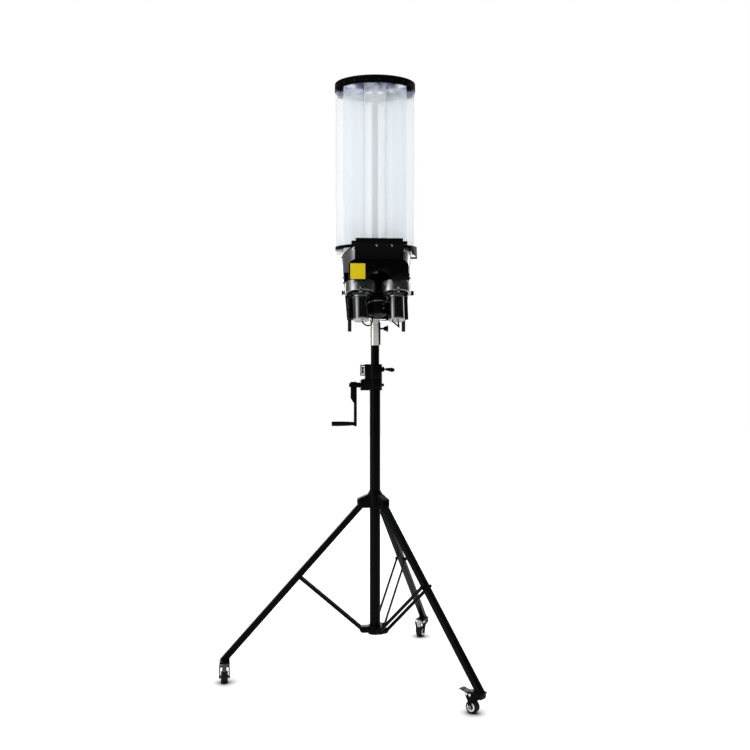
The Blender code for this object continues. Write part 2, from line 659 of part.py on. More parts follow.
def make_clamp():
    low = WINCH_TOP_Z + FIT
    step = MAST_TOP_Z + FIT
    clamp = rod("mast_clamp", (0, 0, low), (0, 0, CLAMP_TOP_Z), BOSS_R, sides=32)
    block = box("clamp_block", (-34 * MM, -17 * MM, low), (0, 17 * MM, CLAMP_TOP_Z))
    ears = box("clamp_ears", (14 * MM, -12 * MM, LEVER_Z - 8 * MM), (29.5 * MM, 12 * MM, LEVER_Z + 8 * MM))
    window = [(-46 * MM, 986 * MM), (-35 * MM, 986 * MM), (-35 * MM, 1014 * MM), (-46 * MM, 1014 * MM)]
    edge = [(-49 * MM, 982 * MM), (-33 * MM, 982 * MM), (-33 * MM, 1018 * MM), (-49 * MM, 1018 * MM)]
    catch = slab("clamp_catch", [edge, window], -9 * MM, 9 * MM, "XZ")
    bore = rod("clamp_bore", (0, 0, low - 1 * MM), (0, 0, step), MAST_R + FIT, sides=32)
    guide = rod("clamp_guide", (0, 0, low - 1 * MM), (0, 0, CLAMP_TOP_Z + 1 * MM), INNER_BORE, sides=32)
    slit = box("clamp_slit", (13 * MM, -1 * MM, low - 1 * MM), (33 * MM, 1 * MM, CLAMP_TOP_Z + 1 * MM))
    hole = rod("clamp_hole", (LEVER_X, -13 * MM, LEVER_Z), (LEVER_X, 13 * MM, LEVER_Z), 3 * MM + RUN, sides=12)
    fuse(clamp, block, ears, catch)
    carve(clamp, bore, guide, slit, hole)
    finish(clamp, BLACK_PAINT)

    ear = 12 * MM + RUN
    plane = -ear - 5.5 * MM
    lever = rod("clamp_lever", (0, ear + 1 * MM, 0), (0, -ear - 8 * MM, 0), 3 * MM, sides=12)
    nut = hex_head("lever_nut", (0, ear, 0), (0, ear + 3.5 * MM, 0), 5 * MM)
    hub = rod("lever_hub", (0, -ear, 0), (0, -ear - 9 * MM, 0), 4.8 * MM)
    neck = rod("lever_neck", (2 * MM, plane, 0), (12 * MM, plane, 0.4 * MM), 2.8 * MM, sides=12)
    grip = rod("lever_grip", (8 * MM, plane, 0.3 * MM), (30 * MM, plane, -1.9 * MM), 4 * MM, 7.6 * MM)
    end = rod("lever_end", (27 * MM, plane, -1.5 * MM), (36 * MM, plane, -2.8 * MM), 6.6 * MM, 5 * MM, sides=16)
    fuse(lever, nut, hub, neck, grip, end)
    finish(lever, BLACK_PLASTIC, place=(LEVER_X, 0, LEVER_Z))


# Turning unit


def make_sleeve():
    bore_top = SLEEVE_TOP_Z - SLEEVE_SEAT
    profile = [
        (0, SLEEVE_FLANGE_Z),
        (SLEEVE_FLANGE_R, SLEEVE_FLANGE_Z),
        (SLEEVE_FLANGE_R, SLEEVE_FLANGE_Z - 4 * MM),
        (SLEEVE_R + 2 * MM, SLEEVE_FLANGE_Z - 5 * MM),
        (SLEEVE_R + 2 * MM, SLEEVE_TOP_Z),
        (SLEEVE_R, SLEEVE_TOP_Z - 1 * MM),
        (SLEEVE_R, SLEEVE_FOOT_Z),
        (INNER_BORE, SLEEVE_FOOT_Z),
        (INNER_BORE, bore_top),
        (0, bore_top),
    ]
    sleeve = turned("head_socket_sleeve", profile, closed=False)
    hole = rod("screw_hole", (10 * MM, 0, THUMB_SCREW_Z), (20 * MM, 0, THUMB_SCREW_Z), 3 * MM + RUN, sides=12)
    carve(sleeve, hole)
    finish(sleeve, CHROME)

    screw = rod("thumb_screw", (INNER_BORE, 0, 0), (30 * MM, 0, 0), 3 * MM, sides=12)
    knob = rod("screw_knob", (28 * MM, 0, 0), (43 * MM, 0, 0), 4 * MM, 11 * MM, sides=20)
    fuse(screw, knob)
    finish(screw, BLACK_PLASTIC, place=(0, 0, THUMB_SCREW_Z))

    pan = [
        (0, PAN_TOP_Z),
        (PAN_R - 1 * MM, PAN_TOP_Z),
        (PAN_R, PAN_TOP_Z - 1 * MM),
        (PAN_R, SLEEVE_FLANGE_Z + 4 * MM),
        (PAN_R - 3 * MM, SLEEVE_FLANGE_Z + FIT),
        (0, SLEEVE_FLANGE_Z + FIT),
    ]
    finish(turned("pan_block", pan, closed=False), BLACK_PLASTIC)


# Head


def forward(x, f, z):
    """A point of the head: across, in front of the mast axis, up."""
    return (x, -f, z)


def shell_radius(z):
    return SHELL_FOOT_R + (z - SHELL_FOOT_Z) * SHELL_SLOPE


def make_shell():
    top = SHELL_FRONT_Z + 14 * MM
    profile = [
        (shell_radius(top), top),
        (SHELL_FOOT_R, SHELL_FOOT_Z),
        (SHELL_FOOT_R - SHELL_WALL, SHELL_FOOT_Z),
        (shell_radius(top) - SHELL_WALL, top),
    ]
    shell = settled(turned("head_shell", profile, steps=56))
    shell.data.transform(Matrix.Translation((0, -HEAD_FORWARD, 0)))
    wide = 200 * MM
    rise = (SHELL_FRONT_Z - SHELL_RIM_Z) / (SHELL_RISE_TO - SHELL_RISE_FROM)
    end_z = SHELL_RIM_Z + (wide - SHELL_RISE_FROM) * rise
    above = [
        (wide, SHELL_RIM_Z),
        (-SHELL_RISE_FROM, SHELL_RIM_Z),
        (-wide, end_z),
        (-wide, top + 100 * MM),
        (wide, top + 100 * MM),
    ]
    rim_cut = slab("rim_cut", [above], -wide, wide, "YZ")
    low_cut = box("low_front_cut", forward(-wide, wide, 0), forward(wide, FRONT_CUT, FRONT_CUT_Z))
    slot = HOOD_HALF + RUN
    high_cut = box("high_front_cut", forward(-slot, wide, FRONT_CUT_Z - 1 * MM), forward(slot, FRONT_CUT, top + 1 * MM))
    pivot = rod("pivot_cut", forward(-wide, HEAD_FORWARD, PITCH_Z), forward(wide, HEAD_FORWARD, PITCH_Z), SHAFT_BORE, sides=12)
    carve(shell, rim_cut, low_cut, high_cut, pivot)
    finish(shell, SHELL_GREY)


def make_deck():
    """The plate that the head's parts stand on: a half disc with a tongue over the turning unit."""
    radius = shell_radius(DECK_Z) - SHELL_WALL - RUN
    front = -22 * MM  # its straight edge, behind the shell's axis
    start = degrees(atan2(-front, (radius**2 - front**2) ** 0.5))
    outline = arc((0, -HEAD_FORWARD), radius, start, 180 - start, 40)
    tongue = 34 * MM
    tip = -33 * MM
    root = -HEAD_FORWARD - front - 1 * MM
    outline += [(-tongue, root), (-tongue, tip), (tongue, tip), (tongue, root)]
    deck = slab("head_deck", [outline], DECK_Z, DECK_Z + DECK_THICK)
    boss = rod("deck_boss", (0, 0, PAN_TOP_Z + RUN), (0, 0, DECK_Z + 1 * MM), PAN_R, sides=32)
    fuse(deck, boss)
    finish(deck, BLACK_PAINT)

    foot = DECK_Z + DECK_THICK + FIT
    motor = [
        (0, foot + 86 * MM), (SPIN_SHAFT_R, foot + 86 * MM), (SPIN_SHAFT_R, foot + 66 * MM),
        (16 * MM, foot + 66 * MM), (16 * MM, foot + 50 * MM), (18.5 * MM, foot + 50 * MM),
        (18.5 * MM, foot), (0, foot)]
    finish(turned("magazine_motor", motor, closed=False), BLACK_PLASTIC)


def make_floor():
    """The plate under the tubes, open at the front where a shuttle drops, with the magazine's catch."""
    half = TUBE_R
    gap = degrees(atan2(half, (FLOOR_R**2 - half**2) ** 0.5))
    outline = arc((0, 0), FLOOR_R, -90 + gap, 270 - gap, 56)
    outline += arc((0, -TUBE_CENTRES), half, 180, 0, 14)[1:-1]
    hole = ring_of((0, 0), ROD_R + RUN)
    floor = slab("magazine_floor", [outline, hole], FLOOR_Z, FLOOR_Z + FLOOR_THICK)
    inner, outer = TOP_RING_R + 0.5 * MM, TOP_RING_R + 6 * MM
    arm = box("catch_arm", (FLOOR_R - 8 * MM, -9 * MM, FLOOR_Z + 1 * MM),
              (outer, 9 * MM, FLOOR_Z + FLOOR_THICK + 1 * MM))
    post = box("catch_post", (inner + 0.6 * MM, -8 * MM, FLOOR_Z + 2 * MM),
               (outer - 0.6 * MM, 8 * MM, BOTTOM_RING_Z - 10 * MM))
    turn = Matrix.Rotation(radians(CATCH_AT), 4, "Z")
    for shape in (arm, post):
        shape.data.transform(turn)
    strips = []
    for name, trim, reach, low, high in (("low", 0, 26, -19, -6), ("high", 0.4, 35, -9, 9)):
        ends, wall = (CATCH_AT - reach, CATCH_AT + 4.2 - trim), (inner + trim * MM, outer - trim * MM)
        outline = arc((0, 0), wall[1], *ends, 12) + arc((0, 0), wall[0], *ends[::-1], 12)
        strips.append(slab(f"catch_{name}", [outline], BOTTOM_RING_Z + low * MM, BOTTOM_RING_Z + high * MM))
    fuse(floor, arm, post, *strips)
    finish(floor, BLACK_PLASTIC)


def make_hood():
    wall = HOOD_WALL
    tier_z, tier_top = HOOD_TIER_Z, HOOD_TIER_Z + 10 * MM
    hood = box("hood", forward(-HOOD_HALF, HOOD_FRONT, HOOD_FOOT_Z), forward(HOOD_HALF, HOOD_BACK, tier_z + 2 * MM))
    tier = box("hood_tier", forward(-88.5 * MM, HOOD_FRONT + 2 * MM, tier_z),
               forward(88.5 * MM, 118 * MM, tier_top))
    cap = box("hood_cap", forward(-74.5 * MM, HOOD_FRONT + 1 * MM, tier_top - 2 * MM),
              forward(74.5 * MM, 112 * MM, HOOD_TOP_Z))
    ridge = rod("hood_ridge", forward(wall - HOOD_HALF, HOOD_FRONT, PANEL_TOP_Z + 3 * MM),
                forward(HOOD_HALF - wall, HOOD_FRONT, PANEL_TOP_Z + 3 * MM), 2.2 * MM, sides=12)
    room = box("hood_room", forward(wall - HOOD_HALF, HOOD_FRONT - wall, HOOD_FOOT_Z - 1 * MM),
               forward(HOOD_HALF - wall, HOOD_BACK - 10 * MM, tier_z - wall))
    clear = rod("magazine_clearance", (0, 0, FLOOR_Z + FLOOR_THICK), (0, 0, HOOD_TOP_Z + 5 * MM),
                TOP_RING_R + 1.5 * MM, sides=56)
    fuse(hood, tier, cap, ridge)
    carve(hood, room, clear)
    finish(hood, BLACK_PLASTIC)


def make_panel():
    """The front plate: round shoulders above, an arch for the shuttle below."""
    shoulder = 24 * MM
    left, right = PANEL_SHIFT - PANEL_HALF, PANEL_SHIFT + PANEL_HALF
    corner_z = PANEL_TOP_Z - shoulder
    arch_z = PANEL_FOOT_Z - 8 * MM
    lift = degrees(atan2(PANEL_FOOT_Z - arch_z, LAUNCH_R))
    outline = [(left, PANEL_FOOT_Z)]
    outline += arc((left + shoulder, corner_z), shoulder, 180, 90, 6)
    outline += arc((right - shoulder, corner_z), shoulder, 90, 0, 6)
    outline.append((right, PANEL_FOOT_Z))
    outline += arc((0, arch_z), LAUNCH_R, lift, 180 - lift, 16)
    front = -HOOD_FRONT - RUN
    finish(slab("front_panel", [outline], front - PANEL_THICK, front, "XZ"), GLOSS_BLACK)


# Launcher unit


def unit(x, f, h):
    """A point of the launcher unit: across, forward, up from the pitch axis."""
    return (x, -f, h)


def make_plate(holder):
    rear, notch, tip = 12 * MM, -12 * MM, WHEEL_F + 10 * MM
    side, nose = TAB_X, 88 * MM
    half = [(44 * MM, notch), (66 * MM, rear), (side, rear), (side, -30 * MM), (nose, -tip)]
    outline = half + [(-x, y) for x, y in half[::-1]]
    holes = [ring_of((sign * WHEEL_X, -WHEEL_F), 9.6 * MM, 20) for sign in (1, -1)]
    holes.append(ring_of((0, -FEED_F), 8.6 * MM, 20))
    plate = slab("launcher_plate", [outline, *holes], PLATE_LOW, PLATE_TOP)
    for sign in (1, -1):
        x = sorted((sign * (side - 3 * MM), sign * side))
        tab = box(f"tab_{sign}", (x[0], -12 * MM, PLATE_LOW), (x[1], 12 * MM, 12 * MM))
        hole = rod(f"tab_hole_{sign}", (sign * (side - 8 * MM), 0, 0), (sign * (side + 5 * MM), 0, 0), SHAFT_BORE, sides=12)
        strip = rod(f"strip_{sign}", unit(sign * STRIP_X, STRIP_F, PLATE_LOW + 1 * MM),
                    unit(sign * STRIP_X, STRIP_F, STRIP_FOOT), STRIP_R, sides=20)
        fuse(plate, tab, strip)
        carve(plate, hole)
    finish(plate, BLACK_PAINT, holder)


def make_spinner(holder, side, sign):
    """A flywheel on its shaft, and the motor that the shaft runs into."""
    at = unit(sign * WHEEL_X, WHEEL_F, 0)
    rim, hub = 9 * MM, 12 * MM
    low, top = FLYWHEEL_LOW, FLYWHEEL_TOP
    profile = [
        (0, top - 4 * MM),
        (hub, top - 4 * MM),
        (hub, 0),
        (FLYWHEEL_R - rim, 0),
        (FLYWHEEL_R - rim, top),
        (FLYWHEEL_R - 1 * MM, top),
        (FLYWHEEL_R, top - 1 * MM),
        (FLYWHEEL_R, low + 1 * MM),
        (FLYWHEEL_R - 1 * MM, low),
        (FLYWHEEL_R - rim, low),
        (FLYWHEEL_R - rim, -6 * MM),
        (hub, -6 * MM),
        (hub, low),
        (SPIN_SHAFT_R, low),
        (SPIN_SHAFT_R, low - 18 * MM),
        (0, low - 18 * MM),
    ]
    finish(turned(f"flywheel_{side}", profile, steps=32, closed=False), ALUMINIUM, holder, at)

    top = PLATE_LOW - FIT
    boss_top = low - 2.5 * MM
    motor = [
        (SHAFT_BORE, boss_top),
        (9 * MM, boss_top),
        (9 * MM, top),
        (MOTOR_R, top),
        (MOTOR_R, top - 4 * MM),
        (MOTOR_R - 1 * MM, top - 5 * MM),
        (MOTOR_R - 1 * MM, MOTOR_FOOT + 3 * MM),
        (MOTOR_R - 3 * MM, MOTOR_FOOT),
        (0, MOTOR_FOOT),
        (0, low - 20 * MM),
        (SHAFT_BORE, low - 20 * MM),
    ]
    finish(turned(f"wheel_motor_{side}", motor), BLACK_PLASTIC, holder, at)


def make_feeder(holder):
    top = PLATE_LOW - FIT
    boss = PLATE_TOP - RUN
    motor = [
        (0, boss),
        (8 * MM, boss),
        (8 * MM, top),
        (FEED_MOTOR_R + 1.5 * MM, top),
        (FEED_MOTOR_R + 1.5 * MM, top - 4.5 * MM),
        (FEED_MOTOR_R, top - 5 * MM),
        (FEED_MOTOR_R, FEED_MOTOR_FOOT + 3 * MM),
        (FEED_MOTOR_R - 3 * MM, FEED_MOTOR_FOOT),
        (0, FEED_MOTOR_FOOT),
    ]
    finish(turned("feed_motor", motor, closed=False), BLACK_PLASTIC, holder, unit(0, FEED_F, 0))

    sled_top = FLYWHEEL_LOW - 1.4 * MM
    arm = box("feed_arm", unit(-14 * MM, 34 * MM, PLATE_TOP + RUN), unit(14 * MM, 14 * MM, sled_top))
    post = box("feed_post", unit(-5 * MM, 30 * MM, sled_top - 1 * MM), unit(5 * MM, 20 * MM, -2 * MM))
    finger = box("feed_finger", unit(-5 * MM, 46 * MM, -10 * MM), unit(5 * MM, 29 * MM, -2 * MM))
    fuse(arm, post, finger)
    finish(arm, STEEL, holder)


def make_foot(side, sign):
    """A rubber foot against the shell's lower rim."""
    profile = [
        (0, FOOT_TOP_Z),
        (FOOT_R, FOOT_TOP_Z),
        (FOOT_R, FOOT_LOW_Z + 2 * MM),
        (FOOT_R - 1 * MM, FOOT_LOW_Z),
        (0, FOOT_LOW_Z),
    ]
    foot = turned(f"head_foot_{side}", profile, steps=20, closed=False)
    finish(foot, RUBBER, place=forward(sign * FOOT_X, FOOT_F, 0))


def make_lead(holder, name, ends, sag):
    """A lead that leaves a motor's foot, hangs in a loop and comes back up, as one smooth curve."""
    (x0, f0, h0), (x1, f1, h1) = ends
    points = []
    steps = 18
    for i in range(steps + 1):
        t = i / steps
        ease = t * t * (3 - 2 * t)
        drop = sag[0] * sin(pi * t**1.5) ** 0.8
        bulge = sag[1] * sin(pi * t) ** 2
        h = h0 + (h1 - h0) * ease - drop
        points.append(unit(x0 + (x1 - x0) * ease + bulge, f0 + (f1 - f0) * ease, h))
    curve = bpy.data.curves.new(name, "CURVE")
    curve.dimensions = "3D"
    curve.bevel_depth = LEAD_R
    curve.bevel_resolution = 1
    curve.use_fill_caps = True
    spline = curve.splines.new("POLY")
    spline.points.add(len(points) - 1)
    for point, place in zip(spline.points, points):
        point.co = (*place, 1)
    finish(settled(add(name, curve)), RUBBER, holder)


def make_knob(side, sign):
    """The pitch lock outside the shell, a flat cap on the left and a knob on a neck on the right.
    Its screw runs through the shell into the launcher's tab."""
    near, far = (KNOB_X, KNOB_X + 5 * MM) if side == "left" else (KNOB_X + 5 * MM, KNOB_X + 17 * MM)
    knob = rod(f"pitch_knob_{side}", (sign * near, 0, 0), (sign * far, 0, 0), KNOB_R)
    if side == "right":
        neck = rod("knob_neck", (sign * KNOB_X, 0, 0), (sign * (near + 1 * MM), 0, 0), KNOB_R - 2 * MM)
        fuse(knob, neck)
    screw = rod(f"knob_screw_{side}", (sign * (TAB_X - 5 * MM), 0, 0), (sign * (near + 2 * MM), 0, 0),
                SPIN_SHAFT_R, sides=12)
    fuse(knob, screw)
    finish(knob, BLACK_PLASTIC, place=forward(0, HEAD_FORWARD, PITCH_Z))


def make_launcher():
    holder = frame("launcher_frame", forward(0, HEAD_FORWARD, PITCH_Z), (-PITCH_REST, 0, 0))
    make_plate(holder)
    for side, sign in (("left", -1), ("right", 1)):
        make_spinner(holder, side, sign)
        make_foot(side, sign)
        make_knob(side, sign)
    make_feeder(holder)
    under = MOTOR_FOOT - LEAD_GAP
    make_lead(holder, "motor_lead_left",
              [(-WHEEL_X + 4 * MM, WHEEL_F, under), (-17 * MM, FEED_F + 2 * MM, FEED_MOTOR_FOOT - LEAD_GAP)],
              (27 * MM, 0))
    make_lead(holder, "motor_lead_right",
              [(WHEEL_X - 14 * MM, WHEEL_F + 4 * MM, under), (WHEEL_X + 6 * MM, WHEEL_F - 6 * MM, under)],
              (19 * MM, 9 * MM))


# Magazine


def tube_places():
    """Centres of the tubes round the rod; the first stands at MAGAZINE_REST."""
    step = 360 / TUBE_COUNT
    for i in range(TUBE_COUNT):
        angle = radians(MAGAZINE_REST + step * i)
        yield TUBE_CENTRES * cos(angle), TUBE_CENTRES * sin(angle)


def make_magazine():
    tube_holes = [ring_of(place, TUBE_HOLE, 24) for place in tube_places()]
    centre_hole = ring_of((0, 0), ROD_R + FIT)
    edge = ring_of((0, 0), TOP_RING_R - 1.5 * MM, 56)
    bottom = slab("magazine_bottom_ring", [edge, *tube_holes, centre_hole], BOTTOM_RING_Z,
                  BOTTOM_RING_Z + BOTTOM_RING_THICK)
    finish(bottom, BLACK_PLASTIC)

    top_z = TOP_RING_TOP_Z
    edge = ring_of((0, 0), TOP_RING_R, 56)
    top = slab("magazine_top_ring", [edge, *tube_holes, centre_hole], top_z - RING_PLATE, top_z)
    wall = TOP_RING_R - 1.9 * MM
    skirt = slab("top_skirt", [edge, ring_of((0, 0), wall, 56)], TOP_RING_Z, top_z - RING_PLATE + 0.5 * MM)
    fuse(top, skirt)
    step = 360 / TUBE_COUNT
    for i in (1, 2, 5, 6):
        inner, outer = TOP_RING_R - 20.5 * MM, TOP_RING_R - 1 * MM
        clip = box(f"ring_clip_{i}", (inner, -9 * MM, TOP_RING_Z - 8 * MM), (outer, 9 * MM, top_z - 1 * MM))
        clip.data.transform(Matrix.Rotation(radians(MAGAZINE_REST + step * (i + 0.5)), 4, "Z"))
        fuse(top, clip)
    finish(top, BLACK_PLASTIC)

    bore, foot = SHAFT_BORE, 1318 * MM
    depth = foot + 18 * MM
    profile = [(0, top_z + 4 * MM), (ROD_R, top_z + 4 * MM), (ROD_R, foot), (bore, foot), (bore, depth), (0, depth)]
    finish(turned("centre_rod", profile, steps=24, closed=False), ALUMINIUM)

    bore = TUBE_R - TUBE_WALL
    profile = [(TUBE_R, top_z), (TUBE_R, TUBE_FOOT_Z), (bore, TUBE_FOOT_Z), (bore, top_z)]
    for i, (x, y) in enumerate(tube_places()):
        finish(turned(f"shuttle_tube_{i + 1}", profile, steps=24), CLEAR_TUBE, place=(x, y, 0))


def smooth_round_pieces():
    for obj in PARTS.objects:
        if obj.type == "MESH":
            obj.data.shade_smooth()
            obj.data.set_sharp_from_angle(angle=radians(35))


make_mast()
make_foot_collar()
make_hub()
for leg_side, leg_azimuth in LEG_AZIMUTHS.items():
    make_leg(leg_side, leg_azimuth)
    make_brace(leg_side, leg_azimuth)
    make_caster(leg_side, leg_azimuth)
make_winch()
make_crank()
make_clamp()
make_sleeve()
make_shell()
make_deck()
make_floor()
make_hood()
make_panel()
make_launcher()
make_magazine()
smooth_round_pieces()
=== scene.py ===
"""The looks of a badminton serving machine on a wheeled folding stand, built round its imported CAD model.

Metres, +Z up. The floor is at Z = 0, the mast's axis is the Z axis, and the head's front faces -Y.
Shapes are written in millimetres, and become metres when their mesh is made. The flywheels, motors and
leads are written in the launcher's own frame: across, forward and up from its pitch axis.
"""

from math import acos, asin, atan2, cos, pi, radians, sin

import bmesh
import bpy
from mathutils import Matrix, Vector


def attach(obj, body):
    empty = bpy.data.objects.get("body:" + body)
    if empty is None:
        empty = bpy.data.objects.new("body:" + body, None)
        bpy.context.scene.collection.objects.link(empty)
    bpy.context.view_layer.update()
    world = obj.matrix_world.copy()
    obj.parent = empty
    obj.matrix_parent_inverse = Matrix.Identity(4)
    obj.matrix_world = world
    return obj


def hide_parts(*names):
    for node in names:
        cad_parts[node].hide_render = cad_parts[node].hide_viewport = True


MM = 0.001
SIDES = ("left", "right", "rear")
PAIR = (("left", -1), ("right", 1))
AHEAD, LEFT, DOWN = (0, -1, 0), (-1, 0, 0), (0, 0, -1)

# Stand, in millimetres
LEG_AZIMUTH = {"left": 182.5, "right": 302.5, "rear": 62.5}
LEG_HALF = 10
LEG_CORNER = 2.2
LEG_REACH = 491
LEG_FOOT = 70
HUB_PIVOT = (40, 564)  # out from the mast's axis, and up
MAST = {"radius": 17.5, "wall": 2, "low": 136.3, "high": 1012}
INNER_MAST = {"radius": 14, "wall": 1.5, "low": 560, "high": 1149.7}
CRANK_Z = 951
CRANK_THROW = 127
THUMB_SCREW_Z = 1137

# Casters
TRAIL_AZIMUTH = {"left": 271, "right": 134, "rear": 238}
WHEEL_R = 19
WHEEL_HALF = 11
WHEEL_TRAIL = 24
PEDAL_PIVOT = (36, 57)  # behind the swivel's axis, and up
CHEEK_FACE = 16

# Head and launcher
SHELL_AXIS = 30  # ahead of the mast's axis
SHELL_FOOT = (99, 1165)
SHELL_RIM = (115, 1366)
SHELL_WALL = 2.5
HOOD_HALF = 77
PITCH = (30, 1253)  # ahead of the mast's axis, and up
PITCH_REST = 15
WHEEL_X = 57
WHEEL_F = 62
FEED_F = 36
LEAD_R = 2.4

# Magazine
TUBE_CENTRES = 94.8
TUBE_R = 35.3
TUBE_WALL = 1.0
TUBE_SPAN = (1383.5, 1941.0)
MAGAZINE_REST = -96
RING_R = 132.5
TOP_RING_Z = (1916, 1941)
BOTTOM_RING_Z = (1395, 1405)
ROD_R = 10

# The view: the camera's turn about the mast in degrees, its distance and height in metres
VIEW_TURN = -6
VIEW_DISTANCE = 3.391
VIEW_HEIGHT = 1.0711
VIEW_LENS = 49.32
SENSOR = 36
PHOTO_SIDE_PX = 750
HORIZON_ABOVE_MIDDLE_PX = 26.4

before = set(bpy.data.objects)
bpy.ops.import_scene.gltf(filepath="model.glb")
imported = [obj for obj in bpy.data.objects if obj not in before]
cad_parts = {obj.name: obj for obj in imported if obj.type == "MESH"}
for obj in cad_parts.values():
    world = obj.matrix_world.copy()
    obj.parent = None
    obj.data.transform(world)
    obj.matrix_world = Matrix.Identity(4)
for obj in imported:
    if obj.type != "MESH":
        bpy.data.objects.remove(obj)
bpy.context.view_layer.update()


# Meshes


def new_object(name, mesh):
    obj = bpy.data.objects.new(name, mesh)
    bpy.context.scene.collection.objects.link(obj)
    return obj


def mesh_of(name, shape):
    mesh = bpy.data.meshes.new(name)
    shape.to_mesh(mesh)
    shape.free()
    return new_object(name, mesh)


def settle(obj):
    """Applies an object's modifiers, or makes a curve a mesh, at the origin."""
    bpy.context.view_layer.update()
    graph = bpy.context.evaluated_depsgraph_get()
    mesh = bpy.data.meshes.new_from_object(obj.evaluated_get(graph))
    name, matrix = obj.name, obj.matrix_world.copy()
    bpy.data.objects.remove(obj, do_unlink=True)
    mesh.transform(matrix)
    return new_object(name, mesh)


def soften(obj, angle=35):
    obj.data.shade_smooth()
    obj.data.set_sharp_from_angle(angle=radians(angle))
    return obj


def outward(obj, merge=1e-6):
    """Merges doubled points and turns the faces outwards."""
    shape = bmesh.new()
    shape.from_mesh(obj.data)
    bmesh.ops.remove_doubles(shape, verts=shape.verts, dist=merge)
    bmesh.ops.recalc_face_normals(shape, faces=shape.faces)
    shape.to_mesh(obj.data)
    shape.free()
    return obj


def bevelled(obj, width, segments=2, angle=30):
    """Rounds the edges that are sharper than angle."""
    bevel = obj.modifiers.new("bevel", "BEVEL")
    bevel.width = width * MM
    bevel.segments = segments
    bevel.limit_method = "ANGLE"
    bevel.angle_limit = radians(angle)
    bevel.harden_normals = False
    return soften(settle(obj), 40)


def moved(obj, matrix):
    obj.data.transform(matrix)
    return obj


def joined(name, *objs):
    """One bare mesh from several."""
    shape = bmesh.new()
    for obj in objs:
        shape.from_mesh(obj.data)
        bpy.data.objects.remove(obj, do_unlink=True)
    return soften(mesh_of(name, shape))


def rounded(profile, size, closed=True, steps=3):
    """The profile with its corners rounded, other than those on the axis."""
    points = []
    count = len(profile)
    for i, (r, z) in enumerate(profile):
        ends = not closed and i in (0, count - 1)
        if r < 1e-6 or ends:
            points.append((r, z))
            continue
        here = Vector((r, z))
        before = Vector(profile[i - 1]) - here
        after = Vector(profile[(i + 1) % count]) - here
        cut = min(size, before.length * 0.45, after.length * 0.45)
        a, b = here + before.normalized() * cut, here + after.normalized() * cut
        for k in range(steps + 1):
            t = k / steps
            points.append(tuple(a * (1 - t) ** 2 + here * 2 * t * (1 - t) + b * t**2))
    return points


def mirrored(half):
    """A profile that is the same above and below: its upper half, then its lower."""
    return half + [(r, -z) for r, z in reversed(half)]


def pipe(radius, wall, low, high):
    return [(radius, high), (radius, low), (radius - wall, low), (radius - wall, high)]


def lathe(name, profile, steps=64, round_by=0.5, closed=True):
    """A profile of radii and heights turned about Z."""
    points = rounded(profile, round_by, closed) if round_by else list(profile)
    shape = bmesh.new()
    rings = []
    for r, z in points:
        if r < 1e-6:
            rings.append([shape.verts.new((0, 0, z * MM))])
            continue
        turn = [2 * pi * i / steps for i in range(steps)]
        rings.append([shape.verts.new((r * MM * cos(a), r * MM * sin(a), z * MM)) for a in turn])
    pairs = list(zip(rings, rings[1:]))
    if closed:
        pairs.append((rings[-1], rings[0]))
    for low, high in pairs:
        for i in range(steps):
            j = (i + 1) % steps
            if len(low) > 1 and len(high) > 1:
                shape.faces.new((low[i], low[j], high[j], high[i]))
            elif len(low) > 1:
                shape.faces.new((low[i], low[j], high[0]))
            elif len(high) > 1:
                shape.faces.new((low[0], high[j], high[i]))
    bmesh.ops.recalc_face_normals(shape, faces=shape.faces)
    return soften(mesh_of(name, shape))


PLANES = {
    "XY": Matrix.Identity(4),
    "XZ": Matrix(((1, 0, 0, 0), (0, 0, -1, 0), (0, 1, 0, 0), (0, 0, 0, 1))),
    "YZ": Matrix(((0, 0, 1, 0), (1, 0, 0, 0), (0, 1, 0, 0), (0, 0, 0, 1))),
}


def arc(centre, radius, start, end, steps=12):
    turns = [radians(start + (end - start) * i / steps) for i in range(steps + 1)]
    return [(centre[0] + radius * cos(a), centre[1] + radius * sin(a)) for a in turns]


def circle(centre, radius, steps=48):
    return arc(centre, radius, 0, 360, steps)[:-1]


def plate(name, outlines, low, high, plane="XY", edge=0.5, segments=2):
    """A flat piece with rounded edges: an outer outline and its holes, from low to high."""
    curve = bpy.data.curves.new(name, "CURVE")
    curve.dimensions = "2D"
    curve.fill_mode = "BOTH"
    curve.extrude = (high - low) / 2 * MM
    for outline in outlines:
        spline = curve.splines.new("POLY")
        spline.points.add(len(outline) - 1)
        for point, (u, v) in zip(spline.points, outline):
            point.co = (u * MM, v * MM, 0, 1)
        spline.use_cyclic_u = True
    obj = outward(settle(new_object(name, curve)))
    middle = (low + high) / 2 * MM
    obj.data.transform(PLANES[plane] @ Matrix.Translation((0, 0, -middle if plane == "XZ" else middle)))
    return bevelled(obj, edge, segments) if edge else soften(obj)


def block(name, low, high, edge=0.5, segments=2):
    shape = bmesh.new()
    bmesh.ops.create_cube(shape, size=1)
    low, high = Vector(low) * MM, Vector(high) * MM
    bmesh.ops.scale(shape, vec=high - low, verts=shape.verts)
    bmesh.ops.translate(shape, vec=(high + low) / 2, verts=shape.verts)
    return bevelled(mesh_of(name, shape), edge, segments)


def from_cad(name, node, edge=0.5, segments=2, angle=30):
    """The CAD node's own shape with its points merged and its edges rounded."""
    shape = bmesh.new()
    shape.from_mesh(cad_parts[node].data)
    bmesh.ops.remove_doubles(shape, verts=shape.verts, dist=2e-6)
    bmesh.ops.dissolve_limit(shape, angle_limit=radians(0.8), verts=shape.verts, edges=shape.edges)
    return bevelled(mesh_of(name, shape), edge, segments, angle)


def about_z(azimuth):
    return Matrix.Rotation(radians(azimuth), 4, "Z")


def at_place(x, y, z):
    return Matrix.Translation(Vector((x, y, z)) * MM)


# Node trees


